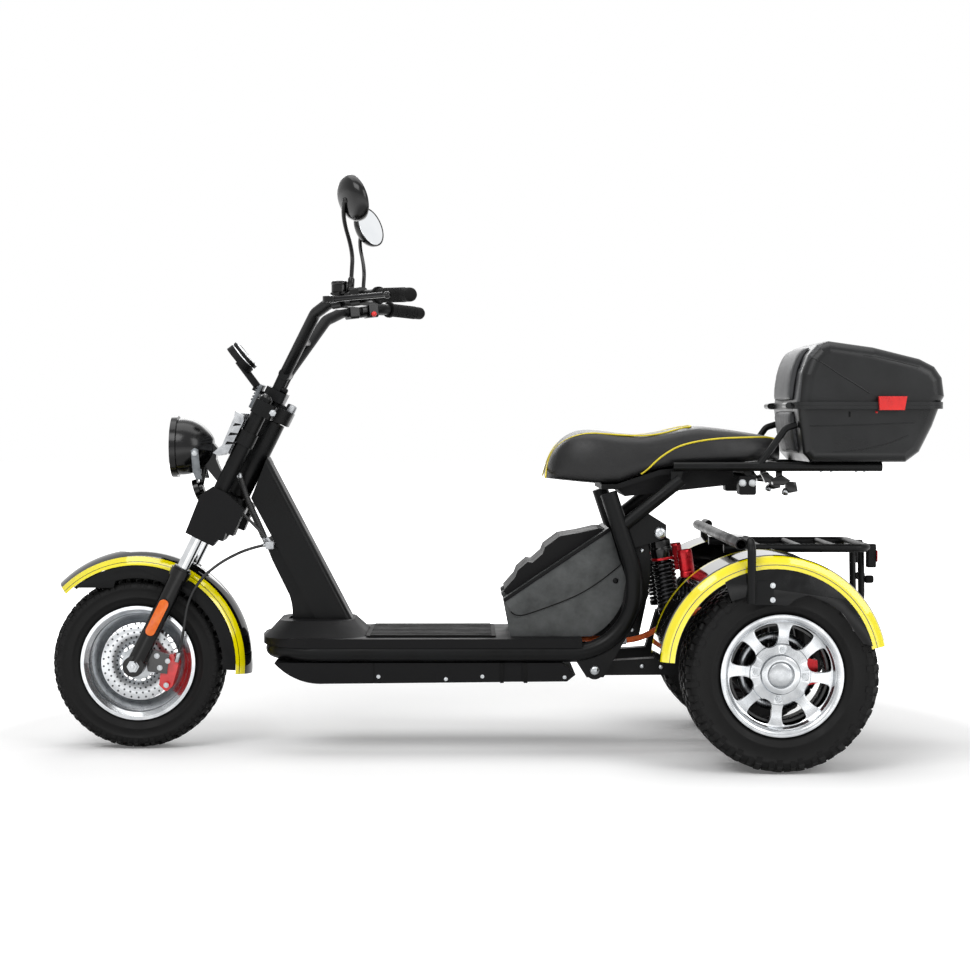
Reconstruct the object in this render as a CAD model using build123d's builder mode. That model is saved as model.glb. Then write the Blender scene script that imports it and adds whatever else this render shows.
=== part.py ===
from build123d import *
import math
import os

os.makedirs("parts", exist_ok=True)

# Electric tricycle. +X is forward, +Y the rider's left, +Z up, and the origin lies on the floor
# under the middle of the overall box. All sizes are millimetres.

# Wheels and stance
wheelbase = 1500
front_axle_x = 850
front_tyre_radius = 209
front_tyre_width = 106
rear_tyre_radius = 222
rear_tyre_width = 168
rear_wheel_y = 315
rim_flange_radius = 138
bead_radius = 127
front_rim_width = 96
rear_rim_width = 150
tyre_wall = 14

# Steering head and fork
rake = 26.5
fork_spread = 95
steering_setback = 30
slider_radius = 21
slider_top = 262
stanchion_radius = 14.5
shroud_bottom = 341
upper_tube_radius = 19
lower_yoke_height = 448
yoke_thickness = 34
upper_yoke_height = 686
head_tube_radius = 30
steerer_radius = 18
neck_width = 92
neck_depth = 78

# Frame and floor
rail_radius = 20
rail_spread = 150
rail_height = 247
rail_front_x = 521
rail_corner = 110
rail_rear_x = -339
seat_rail_top = (-277, 623)
stay_radius = 15
deck_top = 280
deck_edge_height = 22
deck_rear_x = -215
mat_thickness = 6
belly_bottom = 173
belly_top = 222

# Battery housing and seat
housing_width = 230
cover_width = 176
seat_width = 260
seat_tray_thickness = 12

# Rear frame, rack, guard and fenders
subframe_radius = 11
subframe_height = 685
subframe_rear_x = -921
fender_radius = 256
fender_centre_x = -628
fender_centre_z = 239
fender_inner_y = 222
fender_outer_y = 415
fender_wall = 3
fender_skirt = 34
guard_radius = 12.5
guard_x = -554
guard_height = 518
rack_radius = 10
rack_height = 495
rack_spread = 140

# Top box
box_half_width = 196
box_wall = 4
box_split = 829
box_top = 980
box_front_x = -716
box_rear_x = -1052
lip_height = 16
lip_overhang = 8
pad_thickness = 14

# Drive, suspension and brakes
swing_pivot = (-245, 205)
axle_tube_radius = 30
motor_radius = 88
motor_width = 170
spring_radius = 26
shock_top = (-399, 529)
shock_bottom = (-431, 316)
shock_spread = 112
disc_radius = 90
disc_thickness = 4

# Handlebar
bar_radius = 14
grip_radius = 16
mirror_radius = 53

# Clearances
seat_gap = 0.3
running_gap = 0.05
swing_gap = 6

rear_axle_x = front_axle_x - wheelbase
front_axle = (front_axle_x, 0, front_tyre_radius)
rear_axle_z = rear_tyre_radius
rake_sin = math.sin(math.radians(rake))
rake_cos = math.cos(math.radians(rake))


# Planes and small helpers
def side_plane(y):
    return Plane.XZ.offset(-y)


def spin_plane(centre, angle):
    cosine = math.cos(math.radians(angle))
    sine = math.sin(math.radians(angle))
    return Plane(origin=centre, x_dir=(cosine, 0, sine), z_dir=(-sine, 0, cosine))


def fork_plane(along, forward=0, left=0):
    base = Plane(origin=front_axle, x_dir=(rake_cos, 0, rake_sin), z_dir=(-rake_sin, 0, rake_cos))
    return Plane(origin=base.from_local_coords((forward, left, along)), x_dir=base.x_dir, z_dir=base.z_dir)


def fork_side_plane(left=0):
    origin = (front_axle_x, left, front_tyre_radius)
    return Plane(origin=origin, x_dir=(rake_cos, 0, rake_sin), z_dir=(0, -1, 0))


def fork_point(forward, left, along):
    return fork_plane(0).from_local_coords((forward, left, along))


def add_tube(points, radius, bends, bore=0, mode=Mode.ADD):
    with BuildLine() as path:
        FilletPolyline(*points, radius=bends)
    with BuildSketch(Plane(origin=path.line @ 0, z_dir=path.line % 0)) as section:
        Circle(radius)
        if bore:
            Circle(bore, mode=Mode.SUBTRACT)
    sweep(section.sketch, path=path.line, mode=mode)


def add_rod(start, end, radius, mode=Mode.ADD):
    run = Vector(*end) - Vector(*start)
    with BuildSketch(Plane(origin=start, z_dir=run)) as section:
        Circle(radius)
    extrude(section.sketch, amount=run.length, mode=mode)


def save(piece, label):
    piece.part.label = label
    export_step(piece.part, f"parts/{label}.step")


# Tyres: a crowned tread over round side walls, hollow inside, seated on the rim's bead seats
def add_tyre_profile(radius, width, rim_width):
    half = width / 2
    bead_half = rim_width / 2 - 6 - seat_gap
    bead = bead_radius + seat_gap
    shoulder = radius - 16
    flange = rim_flange_radius + 2
    with BuildLine() as outline:
        Polyline((bead, -bead_half), (flange, -bead_half), (flange + 10, -half + 2), (shoulder, -half))
        ThreePointArc((shoulder, -half), (radius, 0), (shoulder, half))
        Polyline((shoulder, half), (flange + 10, half - 2), (flange, bead_half), (bead, bead_half))
        Polyline((bead, bead_half), (bead, bead_half - tyre_wall), (flange + 14, half - tyre_wall))
        Polyline((flange + 14, half - tyre_wall), (shoulder - 8, half - tyre_wall - 4))
        Line((shoulder - 8, half - tyre_wall - 4), (shoulder - 8, tyre_wall + 4 - half))
        Polyline((shoulder - 8, tyre_wall + 4 - half), (flange + 14, tyre_wall - half))
        Polyline((flange + 14, tyre_wall - half), (bead, tyre_wall - bead_half), (bead, -bead_half))
    make_face(outline.edges())


with BuildPart() as front_tyre:
    with BuildSketch(Plane(origin=front_axle)):
        add_tyre_profile(front_tyre_radius, front_tyre_width, front_rim_width)
    revolve(axis=Axis(front_axle, (0, 1, 0)))
save(front_tyre, "front_tyre")

# Front rim: a stepped polished lip on each side of a well, with a ring that takes the spokes
front_rim_half = front_rim_width / 2
spoke_ring_radius = 94
with BuildPart() as front_rim:
    with BuildSketch(Plane(origin=front_axle)):
        with BuildLine():
            Polyline(
                (spoke_ring_radius + 10, 0),
                (spoke_ring_radius + 10, 10),
                (bead_radius - 2, 26),
                (bead_radius, front_rim_half - 6),
                (rim_flange_radius, front_rim_half - 5),
                (rim_flange_radius, front_rim_half),
                (bead_radius + 3, front_rim_half),
                (bead_radius - 7, front_rim_half - 10),
                (bead_radius - 9, front_rim_half - 18),
                (spoke_ring_radius + 6, 16),
                (spoke_ring_radius, 12),
                (spoke_ring_radius, 0),
                (spoke_ring_radius + 10, 0),
            )
        make_face()
        mirror(about=Plane(origin=front_axle, z_dir=(0, 1, 0)))
    revolve(axis=Axis(front_axle, (0, 1, 0)))
save(front_rim, "front_rim")

# Front hub with its brake disc and the crossed wire spokes
spoke_count = 36
spoke_radius = 1.8
hub_radius = 22
hub_flange_radius = 34
hub_flange_y = 22
hub_half_width = 58
spindle_radius = 8
spoke_lead = 44
disc_y = 36
with BuildPart() as front_hub:
    with BuildSketch(Plane(origin=front_axle)):
        with BuildLine():
            Polyline(
                (spindle_radius + running_gap, -hub_half_width),
                (hub_radius, -hub_half_width),
                (hub_radius, -hub_flange_y - 4),
                (hub_flange_radius, -hub_flange_y - 3),
                (hub_flange_radius, -hub_flange_y + 3),
                (hub_radius, -hub_flange_y + 4),
                (hub_radius, hub_flange_y - 4),
                (hub_flange_radius, hub_flange_y - 3),
                (hub_flange_radius, hub_flange_y + 3),
                (hub_radius, hub_flange_y + 4),
                (hub_radius, disc_y - 2),
                (hub_flange_radius + 6, disc_y - 2),
                (hub_flange_radius + 6, disc_y + 2),
                (hub_radius, disc_y + 6),
                (hub_radius, hub_half_width),
                (spindle_radius + running_gap, hub_half_width),
                (spindle_radius + running_gap, -hub_half_width),
            )
        make_face()
    revolve(axis=Axis(front_axle, (0, 1, 0)))
    with BuildSketch(Plane(origin=(front_axle_x, disc_y - disc_thickness / 2, front_tyre_radius), z_dir=(0, 1, 0))):
        Circle(disc_radius)
        Circle(disc_radius - 22, mode=Mode.SUBTRACT)
        with PolarLocations((disc_radius - 22 + hub_flange_radius) / 2, 6):
            Rectangle(disc_radius - hub_flange_radius - 18, 12)
    extrude(amount=disc_thickness)
    for index in range(spoke_count):
        side = 1 if index % 2 else -1
        lead = spoke_lead if index % 4 < 2 else -spoke_lead
        rim_angle = math.radians(index * 360 / spoke_count)
        hub_angle = rim_angle + math.radians(lead)
        hub_ring = hub_flange_radius - 3
        rim_ring = spoke_ring_radius - spoke_radius / 2
        hub_end = (
            front_axle_x + hub_ring * math.cos(hub_angle),
            side * hub_flange_y,
            front_tyre_radius + hub_ring * math.sin(hub_angle),
        )
        rim_end = (
            front_axle_x + rim_ring * math.cos(rim_angle),
            side * 7,
            front_tyre_radius + rim_ring * math.sin(rim_angle),
        )
        add_rod(hub_end, rim_end, spoke_radius)
save(front_hub, "front_hub")

# Rear wheels: eight flat spokes between a recessed hub and a polished dish, with a brake disc inboard
stub_radius = 12
stub_length = 34
wheel_windows = 8
wheel_face_y = 44
hub_face_radius = 68
window_inner = 72
window_outer = 120
window_width = 36
rear_rim_half = rear_rim_width / 2


def build_rear_wheel(side):
    centre = (rear_axle_x, side * rear_wheel_y, rear_axle_z)
    spin = Axis(centre, (0, 1, 0))
    with BuildPart() as tyre:
        with BuildSketch(Plane(origin=centre)):
            add_tyre_profile(rear_tyre_radius, rear_tyre_width, rear_rim_width)
        revolve(axis=spin)
    face_y = centre[1] + side * wheel_face_y
    with BuildPart() as wheel:
        with BuildSketch(Plane(origin=centre)):
            with BuildLine():
                Polyline(
                    (bead_radius - 14, 0),
                    (bead_radius - 14, side * 34),
                    (bead_radius - 2, side * 46),
                    (bead_radius, side * (rear_rim_half - 6)),
                    (rim_flange_radius, side * (rear_rim_half - 5)),
                    (rim_flange_radius, side * rear_rim_half),
                    (bead_radius + 4, side * rear_rim_half),
                    (bead_radius - 6, side * (rear_rim_half - 8)),
                    (bead_radius - 8, side * (wheel_face_y + 2)),
                    (bead_radius - 19, side * 32),
                    (bead_radius - 19, -side * 32),
                    (bead_radius - 8, -side * (wheel_face_y + 2)),
                    (bead_radius - 6, -side * (rear_rim_half - 8)),
                    (bead_radius + 4, -side * rear_rim_half),
                    (rim_flange_radius, -side * rear_rim_half),
                    (rim_flange_radius, -side * (rear_rim_half - 5)),
                    (bead_radius, -side * (rear_rim_half - 6)),
                    (bead_radius - 2, -side * 46),
                    (bead_radius - 14, -side * 34),
                    (bead_radius - 14, 0),
                )
            make_face()
        revolve(axis=spin)
        with BuildSketch(Plane(origin=(centre[0], face_y, centre[2]), z_dir=(0, -side, 0))):
            Circle(bead_radius - 10)
            with PolarLocations((window_inner + window_outer) / 2 - 6, wheel_windows, start_angle=22.5):
                SlotOverall(window_outer - window_inner + 20, window_width, mode=Mode.SUBTRACT)
        extrude(amount=14)
        with BuildSketch(Plane(origin=centre)):
            with BuildLine():
                Polyline(
                    (0, side * (wheel_face_y - 60)),
                    (34, side * (wheel_face_y - 60)),
                    (40, side * (wheel_face_y - 14)),
                    (hub_face_radius, side * (wheel_face_y - 10)),
                    (hub_face_radius, side * (wheel_face_y + 4)),
                    (46, side * (wheel_face_y + 4)),
                    (43, side * (wheel_face_y + 12)),
                    (31, side * (wheel_face_y + 14)),
                    (29, side * (wheel_face_y + 8)),
                    (0, side * (wheel_face_y + 8)),
                    (0, side * (wheel_face_y - 60)),
                )
            make_face()
        revolve(axis=spin)
        with BuildSketch(Plane(origin=(centre[0], face_y - side * 60, centre[2]), z_dir=(0, side, 0))):
            Circle(stub_radius + running_gap)
        extrude(amount=stub_length + 2, mode=Mode.SUBTRACT)
        with BuildSketch(Plane(origin=(centre[0], centre[1] - side * 20, centre[2]), z_dir=(0, side, 0))):
            Circle(disc_radius)
            Circle(disc_radius - 24, mode=Mode.SUBTRACT)
            with PolarLocations(52, 6):
                Rectangle(48, 12)
            Circle(34)
            Circle(stub_radius + running_gap, mode=Mode.SUBTRACT)
        extrude(amount=disc_thickness)
    return tyre, wheel


for side, name in ((1, "left"), (-1, "right")):
    tyre, wheel = build_rear_wheel(side)
    save(tyre, f"rear_tyre_{name}")
    save(wheel, f"rear_rim_{name}")

# Steering: two yokes on a steerer, black upper tubes and the pinch bolts' bosses
yoke_corner = 12
yoke_depth = 76
yoke_back_width = 96
nut_height = 9
lower_yoke_top = lower_yoke_height + yoke_thickness / 2
lower_yoke_bottom = lower_yoke_height - yoke_thickness / 2
upper_yoke_top = upper_yoke_height + yoke_thickness / 2
upper_yoke_bottom = upper_yoke_height - yoke_thickness / 2
head_bottom = lower_yoke_top + 4
head_top = upper_yoke_bottom - 4
with BuildPart() as fork_yokes:
    for height in (lower_yoke_bottom, upper_yoke_bottom):
        with BuildSketch(fork_plane(height)):
            with Locations((-steering_setback, 0)):
                RectangleRounded(yoke_depth, yoke_back_width, 30)
            with Locations((-6, 0)):
                RectangleRounded(54, 2 * fork_spread + 50, yoke_corner)
        extrude(amount=yoke_thickness)
    with BuildSketch(fork_plane(lower_yoke_bottom)):
        with Locations((-steering_setback, 0)):
            Circle(steerer_radius)
    extrude(amount=upper_yoke_top + nut_height - lower_yoke_bottom)
    with BuildSketch(fork_plane(lower_yoke_top)):
        with Locations((0, fork_spread), (0, -fork_spread)):
            Circle(upper_tube_radius)
    extrude(amount=upper_yoke_bottom - lower_yoke_top)
    with BuildSketch(fork_plane(lower_yoke_height + 140)):
        with Locations((0, fork_spread), (0, -fork_spread)):
            Circle(upper_tube_radius + 4)
    extrude(amount=34)
    with BuildSketch(fork_plane(shroud_bottom)):
        with Locations((0, fork_spread), (0, -fork_spread)):
            Circle(upper_tube_radius + 2)
    extrude(amount=lower_yoke_bottom - shroud_bottom)
    with BuildSketch(fork_plane(upper_yoke_top)):
        with Locations((0, fork_spread), (0, -fork_spread)):
            Circle(upper_tube_radius - 3)
        with Locations((-steering_setback, 0)):
            Circle(26)
    extrude(amount=nut_height)
save(fork_yokes, "fork_yokes")

# Bright stanchions between the sliders and the shrouded uppers
with BuildPart() as fork_stanchions:
    with BuildSketch(fork_plane(slider_top - 24)):
        with Locations((0, fork_spread), (0, -fork_spread)):
            Circle(stanchion_radius)
    extrude(amount=shroud_bottom - seat_gap - slider_top + 24)
save(fork_stanchions, "fork_stanchions")

# Sliders with axle lugs, joined by the wheel spindle
lug_radius = 25
with BuildPart() as fork_sliders:
    with BuildSketch(fork_plane(0)):
        with Locations((0, fork_spread), (0, -fork_spread)):
            Circle(slider_radius)
    extrude(amount=slider_top)
    with BuildSketch(fork_plane(slider_top - 26)):
        with Locations((0, fork_spread), (0, -fork_spread)):
            Circle(slider_radius + 4)
    extrude(amount=20)
    with BuildSketch(fork_plane(slider_top - 24)):
        with Locations((0, fork_spread), (0, -fork_spread)):
            Circle(stanchion_radius + seat_gap)
    extrude(amount=24, mode=Mode.SUBTRACT)
    for side in (1, -1):
        with BuildSketch(fork_side_plane(side * fork_spread)):
            Circle(lug_radius)
        extrude(amount=slider_radius - 2, both=True)
    add_rod((front_axle_x, -fork_spread - 26, front_tyre_radius), (front_axle_x, fork_spread + 26, front_tyre_radius), spindle_radius)
save(fork_sliders, "fork_sliders")

# Moulded shroud in front of and around the lower yoke
neck_swing_x = 38
neck_swing_half = 88
with BuildPart() as fork_shroud:
    with BuildSketch(fork_side_plane()):
        with BuildLine():
            Polyline(
                (28, shroud_bottom + 2),
                (-44, shroud_bottom + 2),
                (-48, 362),
                (-60, 364),
                (-58, 384),
                (-76, 386),
                (-72, 452),
                (-20, 470),
                (18, 470),
                (36, 440),
                (28, shroud_bottom + 2),
            )
        make_face()
    extrude(amount=fork_spread + 34, both=True)
    with BuildSketch(fork_plane(shroud_bottom - 4)):
        with Locations((-10, 0)):
            Rectangle(200, 2 * (fork_spread - upper_tube_radius - 12))
    extrude(amount=90, mode=Mode.SUBTRACT)
    with BuildSketch(fork_plane(shroud_bottom)):
        with Locations((0, fork_spread), (0, -fork_spread)):
            Circle(upper_tube_radius + 2 + seat_gap)
    extrude(amount=140, mode=Mode.SUBTRACT)
    with BuildSketch(fork_plane(lower_yoke_bottom - seat_gap)):
        with Locations((-steering_setback, 0)):
            RectangleRounded(yoke_depth + 2 * seat_gap, yoke_back_width + 2 * seat_gap, 30)
        with Locations((-6, 0)):
            RectangleRounded(54 + 2 * seat_gap, 2 * fork_spread + 50 + 2 * seat_gap, yoke_corner)
        with Locations((-steering_setback, 0)):
            Circle(head_tube_radius + swing_gap)
    extrude(amount=60, mode=Mode.SUBTRACT)
    with BuildSketch(fork_plane(shroud_bottom - 4)):
        with Locations((-neck_swing_x, 0)):
            Rectangle(180, 2 * neck_swing_half, align=(Align.MAX, Align.CENTER))
    extrude(amount=170, mode=Mode.SUBTRACT)
save(fork_shroud, "fork_shroud")

# Front fender: a crowned band about the axle, carried on stays from the sliders
front_fender_radius = 272
front_fender_edge = 238
front_fender_half = 64
front_fender_wall = 3
fender_front_angle = 45
fender_sweep = 141
with BuildPart() as front_fender:
    with BuildSketch(spin_plane(front_axle, fender_front_angle)):
        with BuildLine():
            ThreePointArc(
                (front_fender_edge, -front_fender_half),
                (front_fender_radius, 0),
                (front_fender_edge, front_fender_half),
            )
            Line(
                (front_fender_edge, front_fender_half),
                (front_fender_edge, front_fender_half - front_fender_wall),
            )
            ThreePointArc(
                (front_fender_edge, front_fender_half - front_fender_wall),
                (front_fender_radius - front_fender_wall, 0),
                (front_fender_edge, front_fender_wall - front_fender_half),
            )
            Line(
                (front_fender_edge, front_fender_wall - front_fender_half),
                (front_fender_edge, -front_fender_half),
            )
        make_face()
    revolve(axis=Axis(front_axle, (0, -1, 0)), revolution_arc=fender_sweep)
    for side in (1, -1):
        with BuildSketch(fork_side_plane(side * (front_fender_half - 2))):
            with Locations((0, front_fender_edge + 8)):
                RectangleRounded(44, 26, 8)
        extrude(amount=-side * (fork_spread - slider_radius - 4 - seat_gap - front_fender_half + 2))
save(front_fender, "front_fender")

# Handlebar: a clamp foot on the upper yoke, twin risers that spread and a swept-back grip on each side
clamp_thickness = 26
clamp_height = upper_yoke_top + nut_height + seat_gap
bar_foot = fork_point(-8, 0, clamp_height + 18)
bar_bend = (390, 200, 1066)
grip_inner = (259, 285, 1078)
grip_outer = (184, 375, 1074)
bar_kink = (280, 259.8, 1079.1)
foot_spread = 26
riser_lean = 22
with BuildPart() as handlebar:
    for side in (1, -1):
        add_tube(
            [
                (bar_foot.X, side * foot_spread, bar_foot.Z),
                (bar_foot.X - riser_lean, side * (foot_spread + 2), bar_foot.Z + 46),
                (bar_bend[0] + 20, side * 164, bar_bend[2] - 22),
                (bar_bend[0] - 20, side * 214, bar_bend[2] + 2),
                (bar_kink[0], side * bar_kink[1], bar_kink[2]),
                (grip_outer[0], side * grip_outer[1], grip_outer[2]),
            ],
            bar_radius,
            [30, 40, 30, 60],
        )
    for x, z, reach, radius in ((bar_foot.X - riser_lean, bar_foot.Z + 46, 46, bar_radius), (450, 985, 107, 9)):
        add_rod((x, -reach, z), (x, reach, z), radius)
    with BuildSketch(fork_plane(clamp_height)):
        with Locations((-8, 0)):
            RectangleRounded(52, 2 * foot_spread + 44, 12)
    extrude(amount=clamp_thickness)
save(handlebar, "handlebar")

# Rubber grips with end collars, slid over the bar
grip_run = Vector(*grip_outer) - Vector(*grip_inner)
with BuildPart() as grips:
    for side in (1, -1):
        start = Vector(grip_inner[0], side * grip_inner[1], grip_inner[2])
        run = Vector(grip_run.X, side * grip_run.Y, grip_run.Z)
        with BuildSketch(Plane(origin=start, z_dir=run)):
            Circle(grip_radius)
            Circle(bar_radius + seat_gap, mode=Mode.SUBTRACT)
        extrude(amount=run.length - 1)
        with BuildSketch(Plane(origin=start, z_dir=run)):
            Circle(grip_radius + 4)
            Circle(bar_radius + seat_gap, mode=Mode.SUBTRACT)
        extrude(amount=7)
save(grips, "grips")

# Lever perches with fluid reservoirs, brake levers and switch housings, clamped round the bar
bar_run = (Vector(*bar_kink) - Vector(bar_bend[0] - 20, 214, bar_bend[2] + 2)).normalized()
perch_centre = Vector(*bar_kink) - bar_run * 78
switch_centre = Vector(*bar_kink) - bar_run * 26
mirror_clamp = Vector(*bar_kink) - bar_run * 49
lever_pivot = perch_centre + Vector(18, 32, 0)
lever_tip = Vector(*grip_inner) + grip_run * 0.8 + Vector(34, 28, -2)
with BuildPart() as controls:
    for side in (1, -1):
        run = Vector(bar_run.X, side * bar_run.Y, bar_run.Z)
        perch = Vector(perch_centre.X, side * perch_centre.Y, perch_centre.Z)
        switch = Vector(switch_centre.X, side * switch_centre.Y, switch_centre.Z)
        pivot = Vector(lever_pivot.X, side * lever_pivot.Y, lever_pivot.Z)
        tip = Vector(lever_tip.X, side * lever_tip.Y, lever_tip.Z)
        for centre, length, width in ((perch, 24, 40), (switch, 24, 42)):
            with BuildSketch(Plane(origin=centre - run * (length / 2), z_dir=run)):
                RectangleRounded(width, width, 8)
                Circle(bar_radius + seat_gap, mode=Mode.SUBTRACT)
            extrude(amount=length)
        with BuildSketch(Plane(origin=perch + Vector(0, 0, 19))):
            Circle(19)
        extrude(amount=22)
        with BuildSketch(Plane(origin=pivot - Vector(0, 0, 7))):
            Circle(19)
        extrude(amount=14)
        add_rod(tuple(pivot), tuple(tip), 5.5)
        with Locations(Location(tip)):
            Sphere(8)
save(controls, "controls")

# Round mirrors on bent stems from the perches
mirror_centre = (315, 330, 1292)
mirror_depth = 14
stem_foot = mirror_clamp + Vector(0, 0, bar_radius + seat_gap)
with BuildPart() as mirrors:
    for side in (1, -1):
        head = (mirror_centre[0], side * mirror_centre[1], mirror_centre[2])
        facing = Vector(-1, side * 0.1, -0.05)
        with BuildSketch(Plane(origin=head, z_dir=facing)):
            Circle(mirror_radius)
        extrude(amount=mirror_depth, taper=-6)
        add_tube(
            [
                (stem_foot.X, side * stem_foot.Y, stem_foot.Z + 2),
                (stem_foot.X - 6, side * (stem_foot.Y + 4), stem_foot.Z + 90),
                (head[0] + 8, side * (mirror_centre[1] - 6), head[2] - 30),
                (head[0] + 2, side * mirror_centre[1], head[2]),
            ],
            5,
            [40, 20],
        )
        run = Vector(bar_run.X, side * bar_run.Y, bar_run.Z)
        clamp = Vector(mirror_clamp.X, side * mirror_clamp.Y, mirror_clamp.Z)
        with BuildSketch(Plane(origin=clamp - run * 7, z_dir=run)):
            Circle(bar_radius + 5)
        extrude(amount=14)
        with BuildSketch(Plane(origin=clamp - run * 12, z_dir=run)):
            Circle(bar_radius + seat_gap)
        extrude(amount=24, mode=Mode.SUBTRACT)
save(mirrors, "mirrors")

# Headlamp: a deep bowl with a rim and ring steps, its bracket on the lower yoke and the horn under it
lamp_centre = (671, 0, 730)
lamp_radius = 74.5
lamp_depth = 84
bowl_back = 22
horn_centre = (704, 0, 628)
yoke_face = lower_yoke_top + seat_gap
lamp_bracket = [
    (7, yoke_face),
    (20, yoke_face),
    (26, 476),
    (80, 500),
    (96, 530),
    (80, 556),
    (62, 548),
    (52, 522),
    (12, 488),
    (7, 480),
]
with BuildPart() as headlight:
    with BuildSketch(Plane(origin=lamp_centre)):
        with BuildLine():
            Line((0, 0), (0, bowl_back))
            ThreePointArc((0, bowl_back), (26, lamp_radius - 22), (lamp_depth, lamp_radius - 6))
            Polyline((lamp_depth, lamp_radius - 6), (lamp_depth, lamp_radius), (lamp_depth + 14, lamp_radius))
            Polyline((lamp_depth + 14, lamp_radius), (lamp_depth + 14, lamp_radius - 7))
            Polyline((lamp_depth + 14, lamp_radius - 7), (lamp_depth + 2, lamp_radius - 9))
            ThreePointArc((lamp_depth + 2, lamp_radius - 9), (36, lamp_radius - 27), (8, 16))
            Polyline((8, 16), (8, 0), (0, 0))
        make_face()
    revolve(axis=Axis(lamp_centre, (1, 0, 0)))
    with BuildSketch(fork_side_plane()):
        with BuildLine():
            Polyline(*lamp_bracket, close=True)
        make_face()
    extrude(amount=16, both=True)
    with BuildSketch(Plane(origin=horn_centre, z_dir=(0.9, 0, -0.3))):
        Circle(26)
    extrude(amount=13)
    with BuildSketch(Plane(origin=horn_centre, z_dir=(-0.9, 0, 0.3))):
        Circle(16)
    extrude(amount=9)
    add_rod(horn_centre, (690, 0, 690), 6)
save(headlight, "headlight")

# Lens inside the lamp's rim
lens_back = lamp_depth + 3
lens_nose = lamp_depth + 20
lens_rim = lamp_radius - 9 - seat_gap
with BuildPart() as headlight_lens:
    with BuildSketch(Plane(origin=lamp_centre)):
        with BuildLine():
            Polyline((lens_nose, 0), (lens_back, 0), (lens_back, lens_rim), (lens_back + 4, lens_rim))
            TangentArc((lens_nose, 0), (lens_back + 4, lens_rim), tangent=(0, 1))
        make_face()
    revolve(axis=Axis(lamp_centre, (1, 0, 0)))
save(headlight_lens, "headlight_lens")

# Louvred bright panel in front of the upper tubes
collar_front = upper_tube_radius + 4 + seat_gap
louvre_count = 3
louvre_pitch = 24
with BuildPart() as fairing:
    with BuildSketch(fork_side_plane()):
        with BuildLine():
            Polyline((52, 652), (30, 652), (collar_front, 640), (collar_front, 556), (40, 540), (56, 540), (44, 566), (48, 640), (52, 652))
        make_face()
    extrude(amount=fork_spread + 14, both=True)
    with BuildSketch(fork_side_plane()):
        with Locations((20, 600)):
            Rectangle(40, 260)
    extrude(amount=fork_spread - 12, both=True, mode=Mode.SUBTRACT)
    for index in range(louvre_count):
        with BuildSketch(fork_plane(576 + index * louvre_pitch)):
            with Locations((50, 0)):
                Rectangle(24, 2 * fork_spread - 40)
        extrude(amount=8, mode=Mode.SUBTRACT)
save(fairing, "fairing")

# Round speedometer on a stalk from the bar clamp
gauge_centre = Vector(598, 0, 948)
gauge_facing = Vector(-0.77, 0, 0.64)
gauge_radius = 40
gauge_depth = 28
stalk_foot = fork_point(34, 0, clamp_height + 8)
with BuildPart() as speedometer:
    with BuildSketch(Plane(origin=gauge_centre - gauge_facing * 18, z_dir=gauge_facing)):
        Circle(gauge_radius)
    extrude(amount=gauge_depth, taper=3)
    add_rod(tuple(stalk_foot), tuple(gauge_centre - gauge_facing * 16), 9)
    with BuildSketch(fork_plane(clamp_height)):
        with Locations((33.3, 0)):
            RectangleRounded(30, 60, 8)
    extrude(amount=8)
save(speedometer, "speedometer")

# Front brake caliper on a bracket behind the left slider
caliper_inset = 12
disc_slot = 4
bracket_outline = [(840, 254), (800, 242), (770, 232), (776, 186), (822, 192), (826, 220), (840, 232)]
caliper_outline = [(792, 226), (762, 234), (749, 208), (764, 155), (779, 142), (796, 158), (792, 190), (802, 206)]
with BuildPart() as front_caliper:
    with BuildSketch(side_plane(disc_y - caliper_inset)):
        with BuildLine():
            Polyline(*caliper_outline, close=True)
        make_face()
        fillet(vertices(), 6)
    extrude(amount=-44)
    with BuildSketch(side_plane(disc_y)):
        with Locations((front_axle_x, front_tyre_radius)):
            Circle(disc_radius + 4)
    extrude(amount=disc_thickness / 2 + disc_slot, both=True, mode=Mode.SUBTRACT)
    with BuildSketch(side_plane(fork_spread - slider_radius - seat_gap)):
        with BuildLine():
            Polyline(*bracket_outline, close=True)
        make_face()
    extrude(amount=8)
save(front_caliper, "front_caliper")

# Head tube and the deep box-section neck that runs down to the floor, with its front gusset
neck_foot_z = deck_top + seat_gap
neck_foot_x = 418
neck_profile = [(537, 705), (576, 607), (522, 506), (410, 294), (323, 294), (537, 705)]
gusset_inset = 12
foot_length = 170
foot_margin = 10
foot_height = 14
with BuildPart() as frame_neck:
    with BuildSketch(fork_plane(head_bottom)):
        with Locations((-steering_setback, 0)):
            Circle(head_tube_radius)
    extrude(amount=head_top - head_bottom)
    with BuildSketch(side_plane(0)):
        with BuildLine():
            Polyline(*neck_profile)
        make_face()
    extrude(amount=neck_width / 2, both=True)
    fillet(edges().filter_by(Axis.Y, reverse=True).filter_by(lambda edge: edge.length > 300), 14)
    with BuildSketch(side_plane(0)):
        with BuildLine():
            Polyline((535, 512), (541, 493), (527, 457), (486, 373))
            TangentArc((486, 373), (482, 294), tangent=(-0.33, -0.94))
            Polyline((482, 294), (360, 294), (535, 512))
        make_face()
    extrude(amount=neck_width / 2 - gusset_inset, both=True)
    with BuildSketch(Plane.XY.offset(neck_foot_z)):
        with Locations((neck_foot_x, 0)):
            RectangleRounded(foot_length, neck_width + 2 * foot_margin, 20)
    extrude(amount=foot_height)
    with BuildSketch(fork_plane(head_bottom - 40)):
        with Locations((-steering_setback, 0)):
            Circle(steerer_radius + running_gap)
    extrude(amount=head_top - head_bottom + 80, mode=Mode.SUBTRACT)
save(frame_neck, "frame_neck")

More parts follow.
